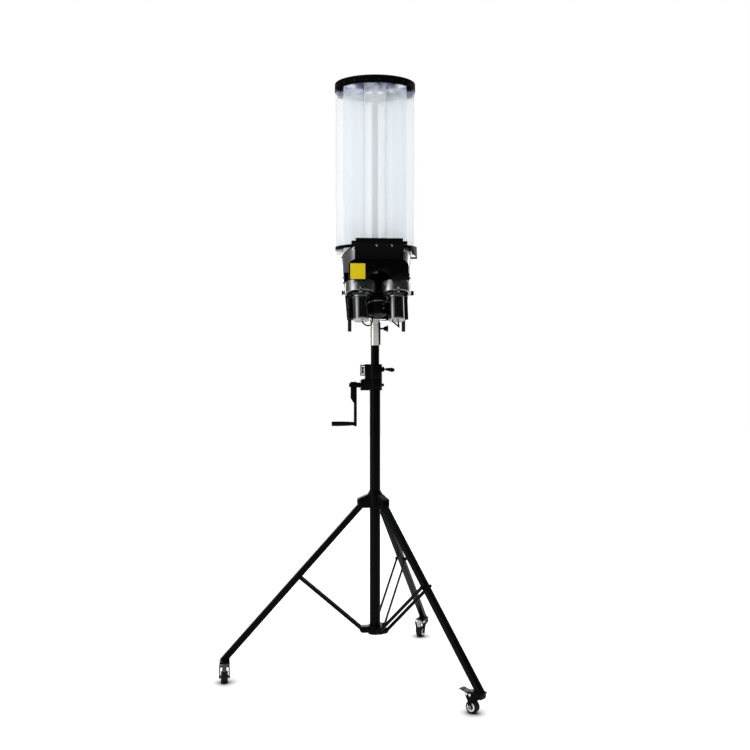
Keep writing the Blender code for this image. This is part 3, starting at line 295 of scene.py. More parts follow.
class Value:
    """One output of a node, for use in Python expressions."""

    def __init__(self, graph, made, socket):
        self.graph, self.made, self.socket = graph, made, socket

    def out(self, name):
        return Value(self.graph, self.made, self.made.outputs[name])

    def math(self, operation, first, second):
        return self.graph.node("ShaderNodeMath", {"operation": operation}, {0: first, 1: second})

    def __add__(self, other):
        return self.math("ADD", self, other)

    def __sub__(self, other):
        return self.math("SUBTRACT", self, other)

    def __rsub__(self, other):
        return self.math("SUBTRACT", other, self)

    def __mul__(self, other):
        return self.math("MULTIPLY", self, other)

    def __truediv__(self, other):
        return self.math("DIVIDE", self, other)

    def __pow__(self, other):
        return self.math("POWER", self, other)

    def clamped(self):
        return self.graph.node("ShaderNodeClamp", {}, {"Value": self})

    __radd__ = __add__
    __rmul__ = __mul__


class Graph:
    """A node tree written as Python."""

    def __init__(self, tree):
        self.tree = tree

    def node(self, kind, settings=None, values=None, output=0):
        """Adds a node, sets its settings first, then sets or links its sockets."""
        made = self.tree.nodes.new(kind)
        for name, value in (settings or {}).items():
            setattr(made, name, value)
        for name, value in (values or {}).items():
            self.put(made.inputs[name], value)
        return Value(self, made, made.outputs[output] if len(made.outputs) else None)

    def put(self, socket, value):
        if isinstance(value, Value):
            self.tree.links.new(value.socket, socket)
        else:
            socket.default_value = value

    def mix(self, factor, first, second):
        """Two colours mixed by a factor."""
        return self.node("ShaderNodeMix", {"data_type": "RGBA"}, {0: factor, 6: first, 7: second}, 2)

    def ramp(self, value, start, full, at_start=0.0, at_full=1.0, kind="LINEAR"):
        """A value turned from at_start to at_full while it runs from start to full."""
        values = {0: value, 1: start, 2: full, 3: at_start, 4: at_full}
        return self.node("ShaderNodeMapRange", {"interpolation_type": kind}, values)

    def stretched(self, place, scale):
        values = {"Vector": place, "Scale": scale}
        return self.node("ShaderNodeMapping", {"vector_type": "POINT"}, values)


# Finishes

FINISHES = {}


def finish(name, build):
    """A material whose shader is made by build from a graph and a place in object space."""
    made = bpy.data.materials.new(name)
    made.use_nodes = True
    made.node_tree.nodes.clear()
    graph = Graph(made.node_tree)
    place = graph.node("ShaderNodeTexCoord", {}, {}, "Object")
    shader = build(graph, place)
    graph.node("ShaderNodeOutputMaterial", {}, {"Surface": shader})
    FINISHES[name] = made
    return made


def noise(graph, place, scale, detail=3, roughness=0.5):
    values = {"Vector": place, "Scale": scale, "Detail": detail, "Roughness": roughness}
    return graph.node("ShaderNodeTexNoise", {}, values, "Fac")


def bump(graph, height, distance):
    return graph.node("ShaderNodeBump", {}, {"Height": height, "Distance": distance, "Strength": 1.0})


def rgb(*colour):
    return (*colour, 1)


def varied(colour, share):
    return rgb(*[c * share for c in colour])


def coated(colour, rough, grain=0.00002, grain_scale=900, spread=0.08, level=0.5, metal=0.0):
    """Paint or plastic: cloudy colour, cloudy gloss and a fine skin."""

    def build(graph, place):
        cloud = noise(graph, place, 14, 4)
        fine = noise(graph, place, grain_scale, 2)
        smear = noise(graph, place, 55, 5, 0.6)
        base = graph.mix(cloud, varied(colour, 0.8), varied(colour, 1.25))
        shine = rough + (smear - 0.5) * spread + (cloud - 0.5) * spread
        values = {"Base Color": base, "Roughness": shine.clamped(), "Metallic": metal,
                  "Specular IOR Level": level, "Coat Roughness": 0.08,
                  "Normal": bump(graph, fine, grain)}
        return graph.node("ShaderNodeBsdfPrincipled", {}, values)

    return build


def brushed(colour, rough, stretch=(1, 1, 40), spread=0.12, turned=None):
    """Metal with fine lines: along an axis, or in rings round a turned piece's own axis."""

    def build(graph, place):
        if turned is not None:
            centre = graph.node("ShaderNodeMapping", {"vector_type": "TEXTURE"},
                                {"Vector": place, "Location": turned.to_translation(),
                                 "Rotation": turned.to_euler()})
            parts = graph.node("ShaderNodeSeparateXYZ", {}, {"Vector": centre})
            x, y, z = parts.out("X"), parts.out("Y"), parts.out("Z")
            across = (x * x + y * y) ** 0.5
            lines = graph.node("ShaderNodeCombineXYZ", {}, {"X": across * 40, "Y": 0.0, "Z": z * 40})
        else:
            lines = graph.stretched(place, stretch)
        streak = noise(graph, lines, 60 if turned is None else 50, 3, 0.7)
        cloud = noise(graph, place, 22, 4)
        base = graph.mix(streak, varied(colour, 0.86), varied(colour, 1.12))
        shine = rough + (streak - 0.5) * spread + (cloud - 0.5) * spread
        values = {"Base Color": base, "Roughness": shine.clamped(), "Metallic": 1.0,
                  "Normal": bump(graph, streak, 0.00001)}
        return graph.node("ShaderNodeBsdfPrincipled", {}, values)

    return build


def clear_plastic(tint, edge_tint, seen, edge):
    """A clear tube: pale face on, greyer along its wall, with painted blue reflections and painted dark shade under
    the top ring.
    """
    painted_band_low, painted_band_high = (TOP_RING_Z[0] - 32) * MM, (TOP_RING_Z[0] - 4) * MM
    painted_reflection_tint, painted_shade_tint = rgb(0.30, 0.33, 0.66), rgb(0.10, 0.13, 0.14)

    def build(graph, place):
        height = graph.node("ShaderNodeSeparateXYZ", {}, {"Vector": place}).out("Z")
        top = graph.ramp(height, painted_band_low, painted_band_high, kind="SMOOTHSTEP")

        # Painted light under the top ring: the blue patches are a painted reflection of the ring, and the dark
        # patches are its painted shade.
        def patches(scale, start, full):
            return (top * graph.ramp(noise(graph, place, scale, 1), start, full)).clamped()

        blue, dark = patches(34, 0.45, 0.62), patches(21, 0.50, 0.60)
        streak = noise(graph, graph.stretched(place, (1, 1, 0.04)), 70, 3)
        facing = graph.node("ShaderNodeLayerWeight", {}, {"Blend": 0.5}, "Facing")
        rim = (facing ** 4).clamped()
        base = graph.mix(rim, rgb(*tint), rgb(*edge_tint))
        base = graph.mix(blue, base, painted_reflection_tint)
        base = graph.mix(dark, base, painted_shade_tint)
        alpha = seen + rim * edge + blue * 0.1 + dark * 0.15 + (streak - 0.5) * 0.05
        values = {"Base Color": base, "Roughness": (0.10 + streak * 0.12).clamped(), "IOR": 1.4,
                  "Specular IOR Level": 0.3, "Alpha": alpha.clamped()}
        return graph.node("ShaderNodeBsdfPrincipled", {}, values)

    return build


def make_finishes():
    finish("paint", coated((0.0016, 0.0017, 0.0019), 0.33, 0.000012, 500, level=0.05))
    finish("plastic", coated((0.0022, 0.0022, 0.0024), 0.4, 0.00002, 1400, level=0.05))
    finish("matt", coated((0.0015, 0.0015, 0.0016), 0.6, 0.00002, 1400, level=0.02))
    finish("gloss", coated((0.0012, 0.0012, 0.0014), 0.24, 0.000004, 200, 0.05, level=0.06))
    finish("motor_black", coated((0.20, 0.20, 0.205), 0.15, 0.000006, 700, 0.05, metal=1.0))
    finish("rubber", coated((0.006, 0.006, 0.006), 0.7, 0.00005, 1100, level=0.2))
    finish("lead", coated((0.002, 0.002, 0.002), 0.6, 0.00001, 1500, level=0.05))
    finish("shell", coated((0.40, 0.405, 0.41), 0.2, 0.000005, 260, 0.05, metal=0.95))
    finish("rim_white", coated((0.78, 0.78, 0.76), 0.35, 0.00001, 900))
    finish("pedal_grey", coated((0.06, 0.06, 0.062), 0.42, 0.00002, 800, metal=0.3))
    finish("yellow", coated((0.56, 0.43, 0.004), 0.5, 0.00001, 500, level=0.1))
    finish("chrome", brushed((0.64, 0.64, 0.60), 0.2, (1, 1, 30), 0.06))
    finish("zinc", brushed((0.62, 0.63, 0.64), 0.26, (25, 25, 1)))
    finish("steel", brushed((0.48, 0.48, 0.49), 0.28, (1, 1, 30)))
    finish("tube", clear_plastic((0.90, 0.945, 0.985), (0.66, 0.71, 0.75), 0.34, 0.40))
    finish("dark_steel", brushed((0.05, 0.05, 0.052), 0.4, (1, 1, 30)))


# Shapes that repeat, as Geometry Nodes


def tree_of(name, sizes, build):
    """A geometry node tree with named inputs that build turns into geometry."""
    tree = bpy.data.node_groups.new(name, "GeometryNodeTree")
    tree.interface.new_socket("Geometry", in_out="INPUT", socket_type="NodeSocketGeometry")
    for size, kind in sizes.items():
        tree.interface.new_socket(size, in_out="INPUT", socket_type=kind)
    tree.interface.new_socket("Finish", in_out="INPUT", socket_type="NodeSocketMaterial")
    tree.interface.new_socket("Geometry", in_out="OUTPUT", socket_type="NodeSocketGeometry")
    graph = Graph(tree)
    given = graph.node("NodeGroupInput")
    shape = build(graph, given.out)
    real = graph.node("GeometryNodeRealizeInstances", {}, {"Geometry": shape})
    values = {"Geometry": real, "Material": given.out("Finish")}
    graph.node("NodeGroupOutput", {}, {"Geometry": graph.node("GeometryNodeSetMaterial", {}, values)})
    return tree


def grown(name, tree, mesh, look, **sizes):
    """Runs a tree on a mesh and returns the plain mesh that comes out. Lengths are in millimetres."""
    obj = new_object(name, mesh)
    modifier = obj.modifiers.new("grow", "NODES")
    modifier.node_group = tree
    for item in tree.interface.items_tree:
        if item.in_out == "OUTPUT" or item.socket_type == "NodeSocketGeometry":
            continue
        if item.name == "Finish":
            modifier[item.identifier] = FINISHES[look]
            continue
        value = sizes[item.name.lower().replace(" ", "_")]
        modifier[item.identifier] = int(value) if item.socket_type == COUNT else float(value) * MM
    obj.update_tag()
    return soften(outward(settle(obj), 1e-7))


LENGTH, COUNT = "NodeSocketFloat", "NodeSocketInt"


def make_trees():
    trees = {}

    def sweep(graph, given):
        path = graph.node("GeometryNodeMeshToCurve", {}, {"Mesh": given("Geometry")})
        values = {"Resolution": 12, "Radius": given("Radius")}
        section = graph.node("GeometryNodeCurvePrimitiveCircle", {}, values)
        values = {"Curve": path, "Profile Curve": section, "Fill Caps": True}
        return graph.node("GeometryNodeCurveToMesh", {}, values)

    trees["sweep"] = tree_of("sweep", {"Radius": LENGTH}, sweep)

    def ring(graph, given):
        values = {"Vertices": given("Count"), "Radius": given("Radius")}
        points = graph.node("GeometryNodeMeshCircle", {}, values)
        place = graph.node("GeometryNodeInputPosition")
        turn = graph.node("FunctionNodeAlignRotationToVector", {"axis": "X"}, {"Vector": place})
        values = {"Points": points, "Instance": given("Geometry"), "Rotation": turn}
        return graph.node("GeometryNodeInstanceOnPoints", {}, values)

    trees["ring"] = tree_of("ring", {"Count": COUNT, "Radius": LENGTH}, ring)

    def screws(graph, given):
        tall, wide = given("Head Height"), given("Head Radius")
        values = {"Vertices": given("Corners"), "Radius": wide, "Depth": tall}
        head = graph.node("GeometryNodeMeshCylinder", {}, values)
        values = {"Mesh": head, "Selection": head.out("Top"), "Offset Scale": tall * 0.25}
        drawn = graph.node("GeometryNodeExtrudeMesh", {"mode": "FACES"}, values)
        values = {"Geometry": drawn, "Selection": drawn.out("Top"), "Scale": 0.78}
        crown = graph.node("GeometryNodeScaleElements", {}, values)
        values = {"Vertices": 28, "Radius": given("Washer Radius"), "Depth": given("Washer Height")}
        disc = graph.node("GeometryNodeMeshCylinder", {}, values)

        def lifted(piece, height):
            up = graph.node("ShaderNodeCombineXYZ", {}, {"X": 0.0, "Y": 0.0, "Z": height})
            return graph.node("GeometryNodeTransform", {}, {"Geometry": piece, "Translation": up})

        both = graph.node("GeometryNodeJoinGeometry")
        for piece in (lifted(crown, given("Washer Height") + tall / 2), lifted(disc, given("Washer Height") / 2)):
            graph.tree.links.new(piece.socket, both.made.inputs[0])
        facing = graph.node("GeometryNodeInputNamedAttribute", {"data_type": "FLOAT_VECTOR"}, {"Name": "facing"})
        turn = graph.node("FunctionNodeAlignRotationToVector", {"axis": "Z"}, {"Vector": facing})
        values = {"Points": given("Geometry"), "Instance": both, "Rotation": turn}
        return graph.node("GeometryNodeInstanceOnPoints", {}, values)

    sizes = {"Head Radius": LENGTH, "Head Height": LENGTH, "Washer Radius": LENGTH, "Washer Height": LENGTH,
             "Corners": COUNT}
    trees["screws"] = tree_of("screws", sizes, screws)
    return trees


def screws(name, look, places, head=(3, 2.4), washer=(4, 0.6), corners=6):
    """Screw heads at places, each a point and the way that it faces. Head and washer are radius and height."""
    mesh = bpy.data.meshes.new(name)
    mesh.from_pydata([Vector(at) * MM for at, _ in places], [], [])
    facing = mesh.attributes.new("facing", "FLOAT_VECTOR", "POINT")
    for entry, (_, way) in zip(facing.data, places):
        entry.vector = Vector(way).normalized()
    return grown(name, TREES["screws"], mesh, look, head_radius=head[0], head_height=head[1],
                 washer_radius=washer[0], washer_height=washer[1], corners=corners)


def swept(name, look, points, radius):
    """A round bar along points."""
    mesh = bpy.data.meshes.new(name)
    mesh.from_pydata([Vector(p) * MM for p in points], [(i, i + 1) for i in range(len(points) - 1)], [])
    return grown(name, TREES["sweep"], mesh, look, radius=radius)


def ringed(name, look, item, count, radius):
    """Copies of a small mesh round Z, each with its X outwards."""
    mesh = item.data
    bpy.data.objects.remove(item, do_unlink=True)
    return grown(name, TREES["ring"], mesh, look, count=count, radius=radius)


# Tying pieces to the frame


def put(piece, body, look, *nodes):
    """Gives a piece its finish, ties it to its body and lets it stand for its CAD nodes."""
    if not piece.data.materials:
        piece.data.materials.append(FINISHES[look])
    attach(piece, body)
    if nodes:
        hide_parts(*nodes)
    return piece


# Camera, floor and light


def make_camera():
    data = bpy.data.cameras.new("view")
    camera = new_object("view", data)
    turn = radians(VIEW_TURN)
    camera.location = (VIEW_DISTANCE * sin(turn), -VIEW_DISTANCE * cos(turn), VIEW_HEIGHT)
    camera.rotation_euler = (pi / 2, 0, turn)
    data.lens = VIEW_LENS
    data.sensor_width = SENSOR
    data.shift_y = -HORIZON_ABOVE_MIDDLE_PX / PHOTO_SIDE_PX
    bpy.context.scene.camera = camera


def make_floor():
    """A white floor with painted shadow round each wheel: ambient occlusion darkens its colour and its glow."""
    shape = bmesh.new()
    bmesh.ops.create_grid(shape, x_segments=8, y_segments=8, size=9)
    floor = mesh_of("floor", shape)

    def build(graph, place):
        path = graph.node("ShaderNodeLightPath")
        grain = noise(graph, place, 300, 2)
        near = graph.node("ShaderNodeAmbientOcclusion", {"samples": 16}, {"Distance": 0.10}, "AO")
        # Painted shadow: the occlusion ramp darkens the floor's colour and glow close to the wheels and legs.
        shade = graph.ramp(near, 0.25, 1.0, kind="SMOOTHSTEP") ** 1.4
        seen = path.out("Is Camera Ray") * shade * 0.42
        pale = graph.mix(grain, rgb(0.84, 0.84, 0.84), rgb(0.87, 0.87, 0.87))
        base = graph.mix(shade, rgb(0.02, 0.02, 0.02), pale)
        values = {"Base Color": base, "Roughness": 0.85, "Specular IOR Level": 0.1,
                  "Emission Color": rgb(1, 1, 1), "Emission Strength": seen}
        return graph.node("ShaderNodeBsdfPrincipled", {}, values)

    floor.data.materials.append(finish("floor", build))


def make_world():
    """White all round, with two dark sides for round pieces to mirror: to the front's right and behind left."""
    world = bpy.data.worlds.new("studio")
    bpy.context.scene.world = world
    world.use_nodes = True
    world.node_tree.nodes.clear()
    graph = Graph(world.node_tree)
    path = graph.node("ShaderNodeLightPath")
    way = graph.node("ShaderNodeTexCoord", {}, {}, "Generated")

    def lit(side, start, full, darkest):
        values = {0: way, 1: side}
        facing = graph.node("ShaderNodeVectorMath", {"operation": "DOT_PRODUCT"}, values, "Value")
        return graph.ramp(facing, start, full, 1.0, darkest, "SMOOTHSTEP")

    mirrored_light = lit((0.60, -0.80, 0.0), -0.12, 0.42, 0.01) * lit((-0.86, 0.50, 0.0), 0.72, 0.95, 0.12)
    glossy = path.out("Is Glossy Ray")
    seen = path.out("Is Camera Ray") + path.out("Is Transmission Ray")
    strength = seen + glossy * mirrored_light + (1 - seen - glossy).clamped() * 0.92
    light = graph.node("ShaderNodeBackground", {}, {"Color": rgb(1, 1, 1), "Strength": strength})
    graph.node("ShaderNodeOutputWorld", {}, {"Surface": light})


def soft_box(name, place, target, size, power):
    data = bpy.data.lights.new(name, "AREA")
    data.shape = "RECTANGLE"
    data.size, data.size_y = size
    data.energy = power
    light = new_object(name, data)
    light.location = place
    light.rotation_euler = (Vector(target) - Vector(place)).to_track_quat("-Z", "Y").to_euler()
    light.visible_camera = False
    return light


def make_lights():
    soft_box("left_box", (-2.3, -1.05, 1.35), (0, 0, 1.2), (1.0, 2.2), 10)
    soft_box("right_strip", (1.9, 1.5, 1.35), (0, 0, 1.2), (0.4, 2.2), 6)
    soft_box("back_box", (-0.2, 3.2, 1.3), (0, 0, 0.9), (2.4, 1.3), 26)
    fill = soft_box("front_fill", (-1.0, -3.5, 2.2), (0, 0, 1.5), (2.5, 2.5), 22)
    fill.visible_glossy = False


# Motor leads

PITCH_AXIS = at_place(0, -PITCH[0], PITCH[1])
LAUNCHER = PITCH_AXIS @ Matrix.Rotation(radians(-PITCH_REST), 4, "X")
LEAD_STEPS = 36
LEADS = {
    # Both ends, how far it sags, and how far it swings sideways
    "left": ((-53, 62, -113.7), (-17, 38, -88.7), 27, 0),
    "right": ((43, 66, -113.7), (63, 56, -113.7), 19, 9),
}


def lead_points(start, end, sag, swing):
    (x0, f0, h0), (x1, f1, h1) = start, end
    points = []
    for i in range(LEAD_STEPS + 1):
        t = i / LEAD_STEPS
        ease = t * t * (3 - 2 * t)
        drop = sag * sin(pi * t**1.5) ** 0.8
        bulge = swing * sin(pi * t) ** 2
        across = x0 + (x1 - x0) * ease + bulge
        points.append((across, -(f0 + (f1 - f0) * ease), h0 + (h1 - h0) * ease - drop))
    return points


def make_leads():
    for side, route in LEADS.items():
        points = [LAUNCHER @ (Vector(p) * MM) for p in lead_points(*route)]
        curve = bpy.data.curves.new(f"motor_lead_{side}_wire", "CURVE")
        curve.dimensions = "3D"
        curve.bevel_depth = LEAD_R * MM
        curve.bevel_resolution = 4
        curve.use_fill_caps = True
        spline = curve.splines.new("POLY")
        spline.points.add(len(points) - 1)
        for point, at in zip(spline.points, points):
            point.co = (*at, 1)
        lead = new_object(f"motor_lead_{side}_wire", curve)
        curve.materials.append(FINISHES["lead"])
        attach(lead, "launcher")
        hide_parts(f"motor_lead_{side}")


# Stand


def leg_frame(side):
    return about_z(LEG_AZIMUTH[side])


def leg_tube(name):
    """A square tube with round corners, from its round top at the hub pivot to its level foot."""
    top_turns, straight_from = (88, 70, 50, 30, 12, 0), 60
    lean = atan2(LEG_REACH - HUB_PIVOT[0], HUB_PIVOT[1] - LEG_FOOT)
    along = Vector((sin(lean), 0, -cos(lean)))
    across = Vector((cos(lean), 0, sin(lean)))
    inset = LEG_HALF - LEG_CORNER
    section = []
    for cx, cy, start in ((1, 1, 0), (-1, 1, 90), (-1, -1, 180), (1, -1, 270)):
        section += arc((cx * inset, cy * inset), LEG_CORNER, start, start + 90, 4)
    pivot = Vector((HUB_PIVOT[0], 0, HUB_PIVOT[1]))
    shape = bmesh.new()
    rings = []
    for turn in top_turns:
        shrink = cos(radians(turn))
        at = pivot - along * LEG_HALF * sin(radians(turn))
        rings.append([at + across * a * shrink + Vector((0, t, 0)) for a, t in section])
    rings.append([pivot + along * straight_from + across * a + Vector((0, t, 0)) for a, t in section])
    foot = []
    for a, t in section:
        start = pivot + across * a + Vector((0, t, 0))
        foot.append(start + along * ((start.z - LEG_FOOT) / cos(lean)))
    rings.append(foot)
    made = [[shape.verts.new(p * MM) for p in ring] for ring in rings]
    for low, high in zip(made, made[1:]):
        for i in range(len(low)):
            j = (i + 1) % len(low)
            shape.faces.new((low[i], low[j], high[j], high[i]))
    shape.faces.new(made[0])
    shape.faces.new(made[-1])
    bmesh.ops.recalc_face_normals(shape, faces=shape.faces)
    return soften(mesh_of(name, shape), 50)


def make_stand():
    put(lathe("mast_tube", pipe(**MAST), 72, 0.6), "mast_base", "paint", "mast_outer_tube")
    put(lathe("mast_inner", pipe(**INNER_MAST), 64, 0.4), "carriage", "paint", "mast_inner_tube")
    put(from_cad("foot_collar_cast", "foot_collar", 0.8, 3), "mast_base", "paint", "foot_collar")
    put(from_cad("leg_hub_cast", "leg_hub", 0.9, 3), "hub", "paint", "leg_hub")
    x, z = HUB_PIVOT
    pin_r, pin_half, nut_seat = 3, 17, 14.4
    plate_in, plate_out, plate_half, plate_z = LEG_REACH - 15, LEG_REACH + 12, 12, (66.6, 70.2)
    corners = [(plate_in, -plate_half), (plate_out, -plate_half), (plate_out, plate_half), (plate_in, plate_half)]
    for side in SIDES:
        turn, body = leg_frame(side), f"{side}_leg"
        put(moved(leg_tube(f"leg_{side}_tube"), turn), body, "paint", f"leg_{side}")
        foot = plate(f"leg_{side}_foot_plate", [corners], *plate_z, edge=0.8)
        put(moved(foot, turn), body, "paint")
        pin = lathe(f"leg_{side}_pivot_pin", mirrored([(0, pin_half), (pin_r, pin_half)]), 24, 0.2, False)
        put(moved(pin, turn @ at_place(x, 0, z) @ Matrix.Rotation(pi / 2, 4, "X")), body, "zinc")
        ends = [((x, sign * nut_seat, z), (0, sign, 0)) for sign in (1, -1)]
        put(moved(screws(f"leg_{side}_pivot_nuts", "paint", ends, (5, 3), (6.2, 0.5)), turn), body, "paint")
        for bar in ("front", "back"):
            shape = from_cad(f"brace_{side}_{bar}_bar", f"brace_{side}_{bar}", 0.5)
            put(shape, f"{side}_brace", "paint", f"brace_{side}_{bar}")


TYRE = mirrored([(WHEEL_R, 7), (18.2, 10), (16.5, WHEEL_HALF), (14, WHEEL_HALF), (13.5, 9.6)])
RIM = mirrored([(13.4, 10.4), (12.8, WHEEL_HALF), (8.4, WHEEL_HALF), (7.7, 9.4)])
WHEEL_HUB = mirrored([(7.6, 9), (6.4, 9), (6.2, 12), (3.5, 12)])
SWIVEL_RACE = [(15.8, 57.5), (16.6, 59), (16.6, 65.2), (15.6, 66.2), (10, 66.2), (10, 57.5)]
ARM_COVER = [(-13, 52), (-11.5, 49), (11.5, 42.5), (18, 31), *arc((WHEEL_TRAIL, WHEEL_R), 6, 185, 355, 14),
             (29.9, 33), (31, 52)]
COVER_RISE = (-0.2, 0.9)  # from the cheek's face
RIDGES_AT = (17, 20.5, 24)
RIVET = (24, 56)


def pedal_ridge(i, x):
    rise = 0.25 * i
    outline = [(x, 9.6 + rise), (x + 1.6, 9.9 + rise), (x + 1.5, 10.9 + rise), (x + 0.2, 10.6 + rise)]
    return plate(f"ridge_{i}", [outline], -10, 10, "XZ", 0.2)


def make_casters():
    for side in SIDES:
        swivel = (leg_frame(side) @ at_place(LEG_REACH, 0, 0)).to_translation()
        at = Matrix.Translation(swivel) @ about_z(TRAIL_AZIMUTH[side])
        axle = at @ at_place(WHEEL_TRAIL, 0, WHEEL_R) @ Matrix.Rotation(pi / 2, 4, "X")
        name, fork, wheel, pedal = f"caster_{side}", f"{side}_fork", f"{side}_wheel", f"{side}_pedal"
        put(from_cad(f"{name}_fork", f"caster_fork_{side}", 0.4), fork, "paint", f"caster_fork_{side}")
        put(moved(lathe(f"{name}_tyre", TYRE, 56, 0.8), axle), wheel, "rubber", f"caster_wheel_{side}")
        put(moved(lathe(f"{name}_rim", RIM, 48, 0.4), axle), wheel, "rim_white")
        put(moved(lathe(f"{name}_hub", WHEEL_HUB, 40, 0.3), axle), wheel, "plastic")
        # Painted light: the three pedals are one part, but the rear one takes bright zinc for its highlight and the
        # other two take dark grey for their shade.
        look = "zinc" if side == "rear" else "pedal_grey"
        put(from_cad(f"{name}_pedal", f"brake_pedal_{side}", 0.4), pedal, look, f"brake_pedal_{side}")
        ridges = joined(f"{name}_pedal_ridges", *[pedal_ridge(i, x) for i, x in enumerate(RIDGES_AT)])
        put(moved(ridges, at @ at_place(PEDAL_PIVOT[0], 0, PEDAL_PIVOT[1] - 1.2)), pedal, look)
        web = block(f"{name}_web", (-13, -13, 47), (-9, 13, 62), 0.8)
        put(moved(web, at), fork, "paint")
        low, high = CHEEK_FACE + COVER_RISE[0], CHEEK_FACE + COVER_RISE[1]
        for edge, reach in (("near", (-high, -low)), ("far", (low, high))):
            cover = plate(f"{name}_{edge}_cover", [ARM_COVER], *reach, "XZ", 0.4)
            put(moved(cover, at), fork, "paint")
        nuts = [((WHEEL_TRAIL, sign * (high - 0.1), WHEEL_R), (0, sign, 0)) for sign in (1, -1)]
        put(moved(screws(f"{name}_axle_nuts", "zinc", nuts, (4.4, 0.5), (5.4, 0.15)), at), fork, "zinc")
        rivets = [((x, sign * (CHEEK_FACE - 0.1), z), (0, sign, 0))
                  for x, z in (PEDAL_PIVOT, RIVET) for sign in (1, -1)]
        rivets = screws(f"{name}_rivets", "rim_white", rivets, (3.0, 1.1), (3.9, 0.4), 24)
        put(moved(rivets, at), fork, "rim_white")
        race = lathe(f"{name}_race", SWIVEL_RACE, 40, 0.3)
        put(moved(race, Matrix.Translation(swivel)), fork, "paint")


def make_winch():
    put(from_cad("winch_box", "winch_housing", 1.2, 3), "mast_base", "paint", "winch_housing")
    put(from_cad("crank_lever", "crank_arm", 1.0, 3), "crank", "paint", "crank_arm")
    length = 73
    grip = [(0, length), (6, length), (7.6, length - 2.5), (7.8, 48), (7.2, 22), (6.0, 4), (5.8, 0), (3.4, 0),
            (3.4, length - 4), (0, length - 4)]
    at = at_place(-70.4, 0, CRANK_Z - CRANK_THROW) @ Matrix.Rotation(-pi / 2, 4, "Y")
    put(moved(lathe("crank_handle", grip, 40, 0.8, False), at), "crank_grip", "plastic", "crank_grip")
    put(from_cad("mast_clamp_block", "mast_clamp", 1.0, 3), "mast_base", "paint", "mast_clamp")
    put(from_cad("clamp_handle", "clamp_lever", 0.5), "clamp_lever", "plastic", "clamp_lever")
    places = [((x, -19, z), AHEAD) for x, z in ((-42, 940), (-42, 965), (-27, 940), (-27, 965))]
    put(screws("winch_side_screws", "paint", places, (2.6, 1.6), (3.2, 0.4)), "mast_base", "paint")
    places = [((-24, -17, z), AHEAD) for z in (979, 1012)]
    put(screws("clamp_side_screws", "paint", places, (3.0, 2.0), (3.8, 0.5)), "mast_base", "paint")
    roller = [(0, 1011.6), (3.6, 1011.6), (4.4, 1010), (3.4, 1000), (4.4, 990), (3.6, 988.4), (0, 988.4)]
    roller = lathe("rope_roller", roller, 32, 0.5, False)
    put(moved(roller, at_place(-40.5, 0, 0)), "mast_base", "pedal_grey")
    nut = screws("crank_end_nut", "paint", [((-81, 0, CRANK_Z), LEFT)], (6.5, 3.5), (8, 0.8))
    put(nut, "crank", "paint")


def make_sleeve():
    sleeve = [(0, 1171), (37, 1171), (37, 1167), (18, 1166), (18, 1158), (16, 1157), (16, 1082), (14.4, 1082),
              (14.4, 1150), (0, 1150)]
    put(lathe("head_sleeve", sleeve, 80, 0.4, False), "carriage", "chrome", "head_socket_sleeve")
    unit = [(0, 1233), (29, 1233), (30, 1232), (30, 1175), (27, 1171.3), (0, 1171.3)]
    put(lathe("turning_unit", unit, 72, 0.8, False), "carriage", "plastic", "pan_block")
    # Painted reflection: a black strip along the chrome sleeve's right side stands in for the dark band that the
    # chrome mirrors there.
    outline = [*arc((0, 0), 18.4, -34, -12, 8), *arc((0, 0), 16.1, -12, -34, 8)]
    put(plate("sleeve_strip", [outline], 1083, 1157, edge=0.6), "carriage", "plastic")
    turn = at_place(0, 0, THUMB_SCREW_Z) @ Matrix.Rotation(pi / 2, 4, "Y")
    screw = [(0, 43), (9.4, 43), (10.8, 41.8), (10.8, 38.6), (7.2, 37), (7.4, 32), (5.2, 28.4), (3, 27.8),
             (3, 14.5), (0, 14.5)]
    screw = lathe("thumb_screw_body", screw, 48, 0.5, False)
    put(moved(screw, turn), "thumb_screw", "plastic", "thumb_screw")
    rib = block("thumb_rib", (-0.4, -0.7, 38.8), (0.5, 0.7, 41.6), 0.3)
    put(moved(ringed("thumb_screw_ribs", "plastic", rib, 24, 10.7), turn), "thumb_screw", "plastic")


# Head


def shell_radius(z):
    (r0, z0), (r1, z1) = SHELL_FOOT, SHELL_RIM
    return r0 + (z - z0) * (r1 - r0) / (z1 - z0)


def shell_point(turn, z, inset=0.0):
    """A point of the shell; turn is from its front, towards +X."""
    r = shell_radius(z) - inset
    return Vector((r * sin(turn), -(SHELL_AXIS + r * cos(turn)), z))


def rim_height(turn):
    """The rim is level behind and rises towards the hood."""
    rise_from, rise, run = 48, 29, 65
    z = low = float(SHELL_RIM[1])
    for _ in range(12):
        ahead = SHELL_AXIS + shell_radius(z) * cos(turn)
        z = low + max(0.0, ahead - rise_from) * rise / run
    return z


FRONT_CUT_Z = 1316.0  # the shell's front is open below this height
FRONT_CUT_AHEAD = 24  # of the shell's axis
SLOT_HALF = HOOD_HALF + 0.4
FLAP_Z = 1390


def cut_turn(z):
    return acos(FRONT_CUT_AHEAD / shell_radius(z))


def slot_turn(z):
    return asin(SLOT_HALF / shell_radius(z))


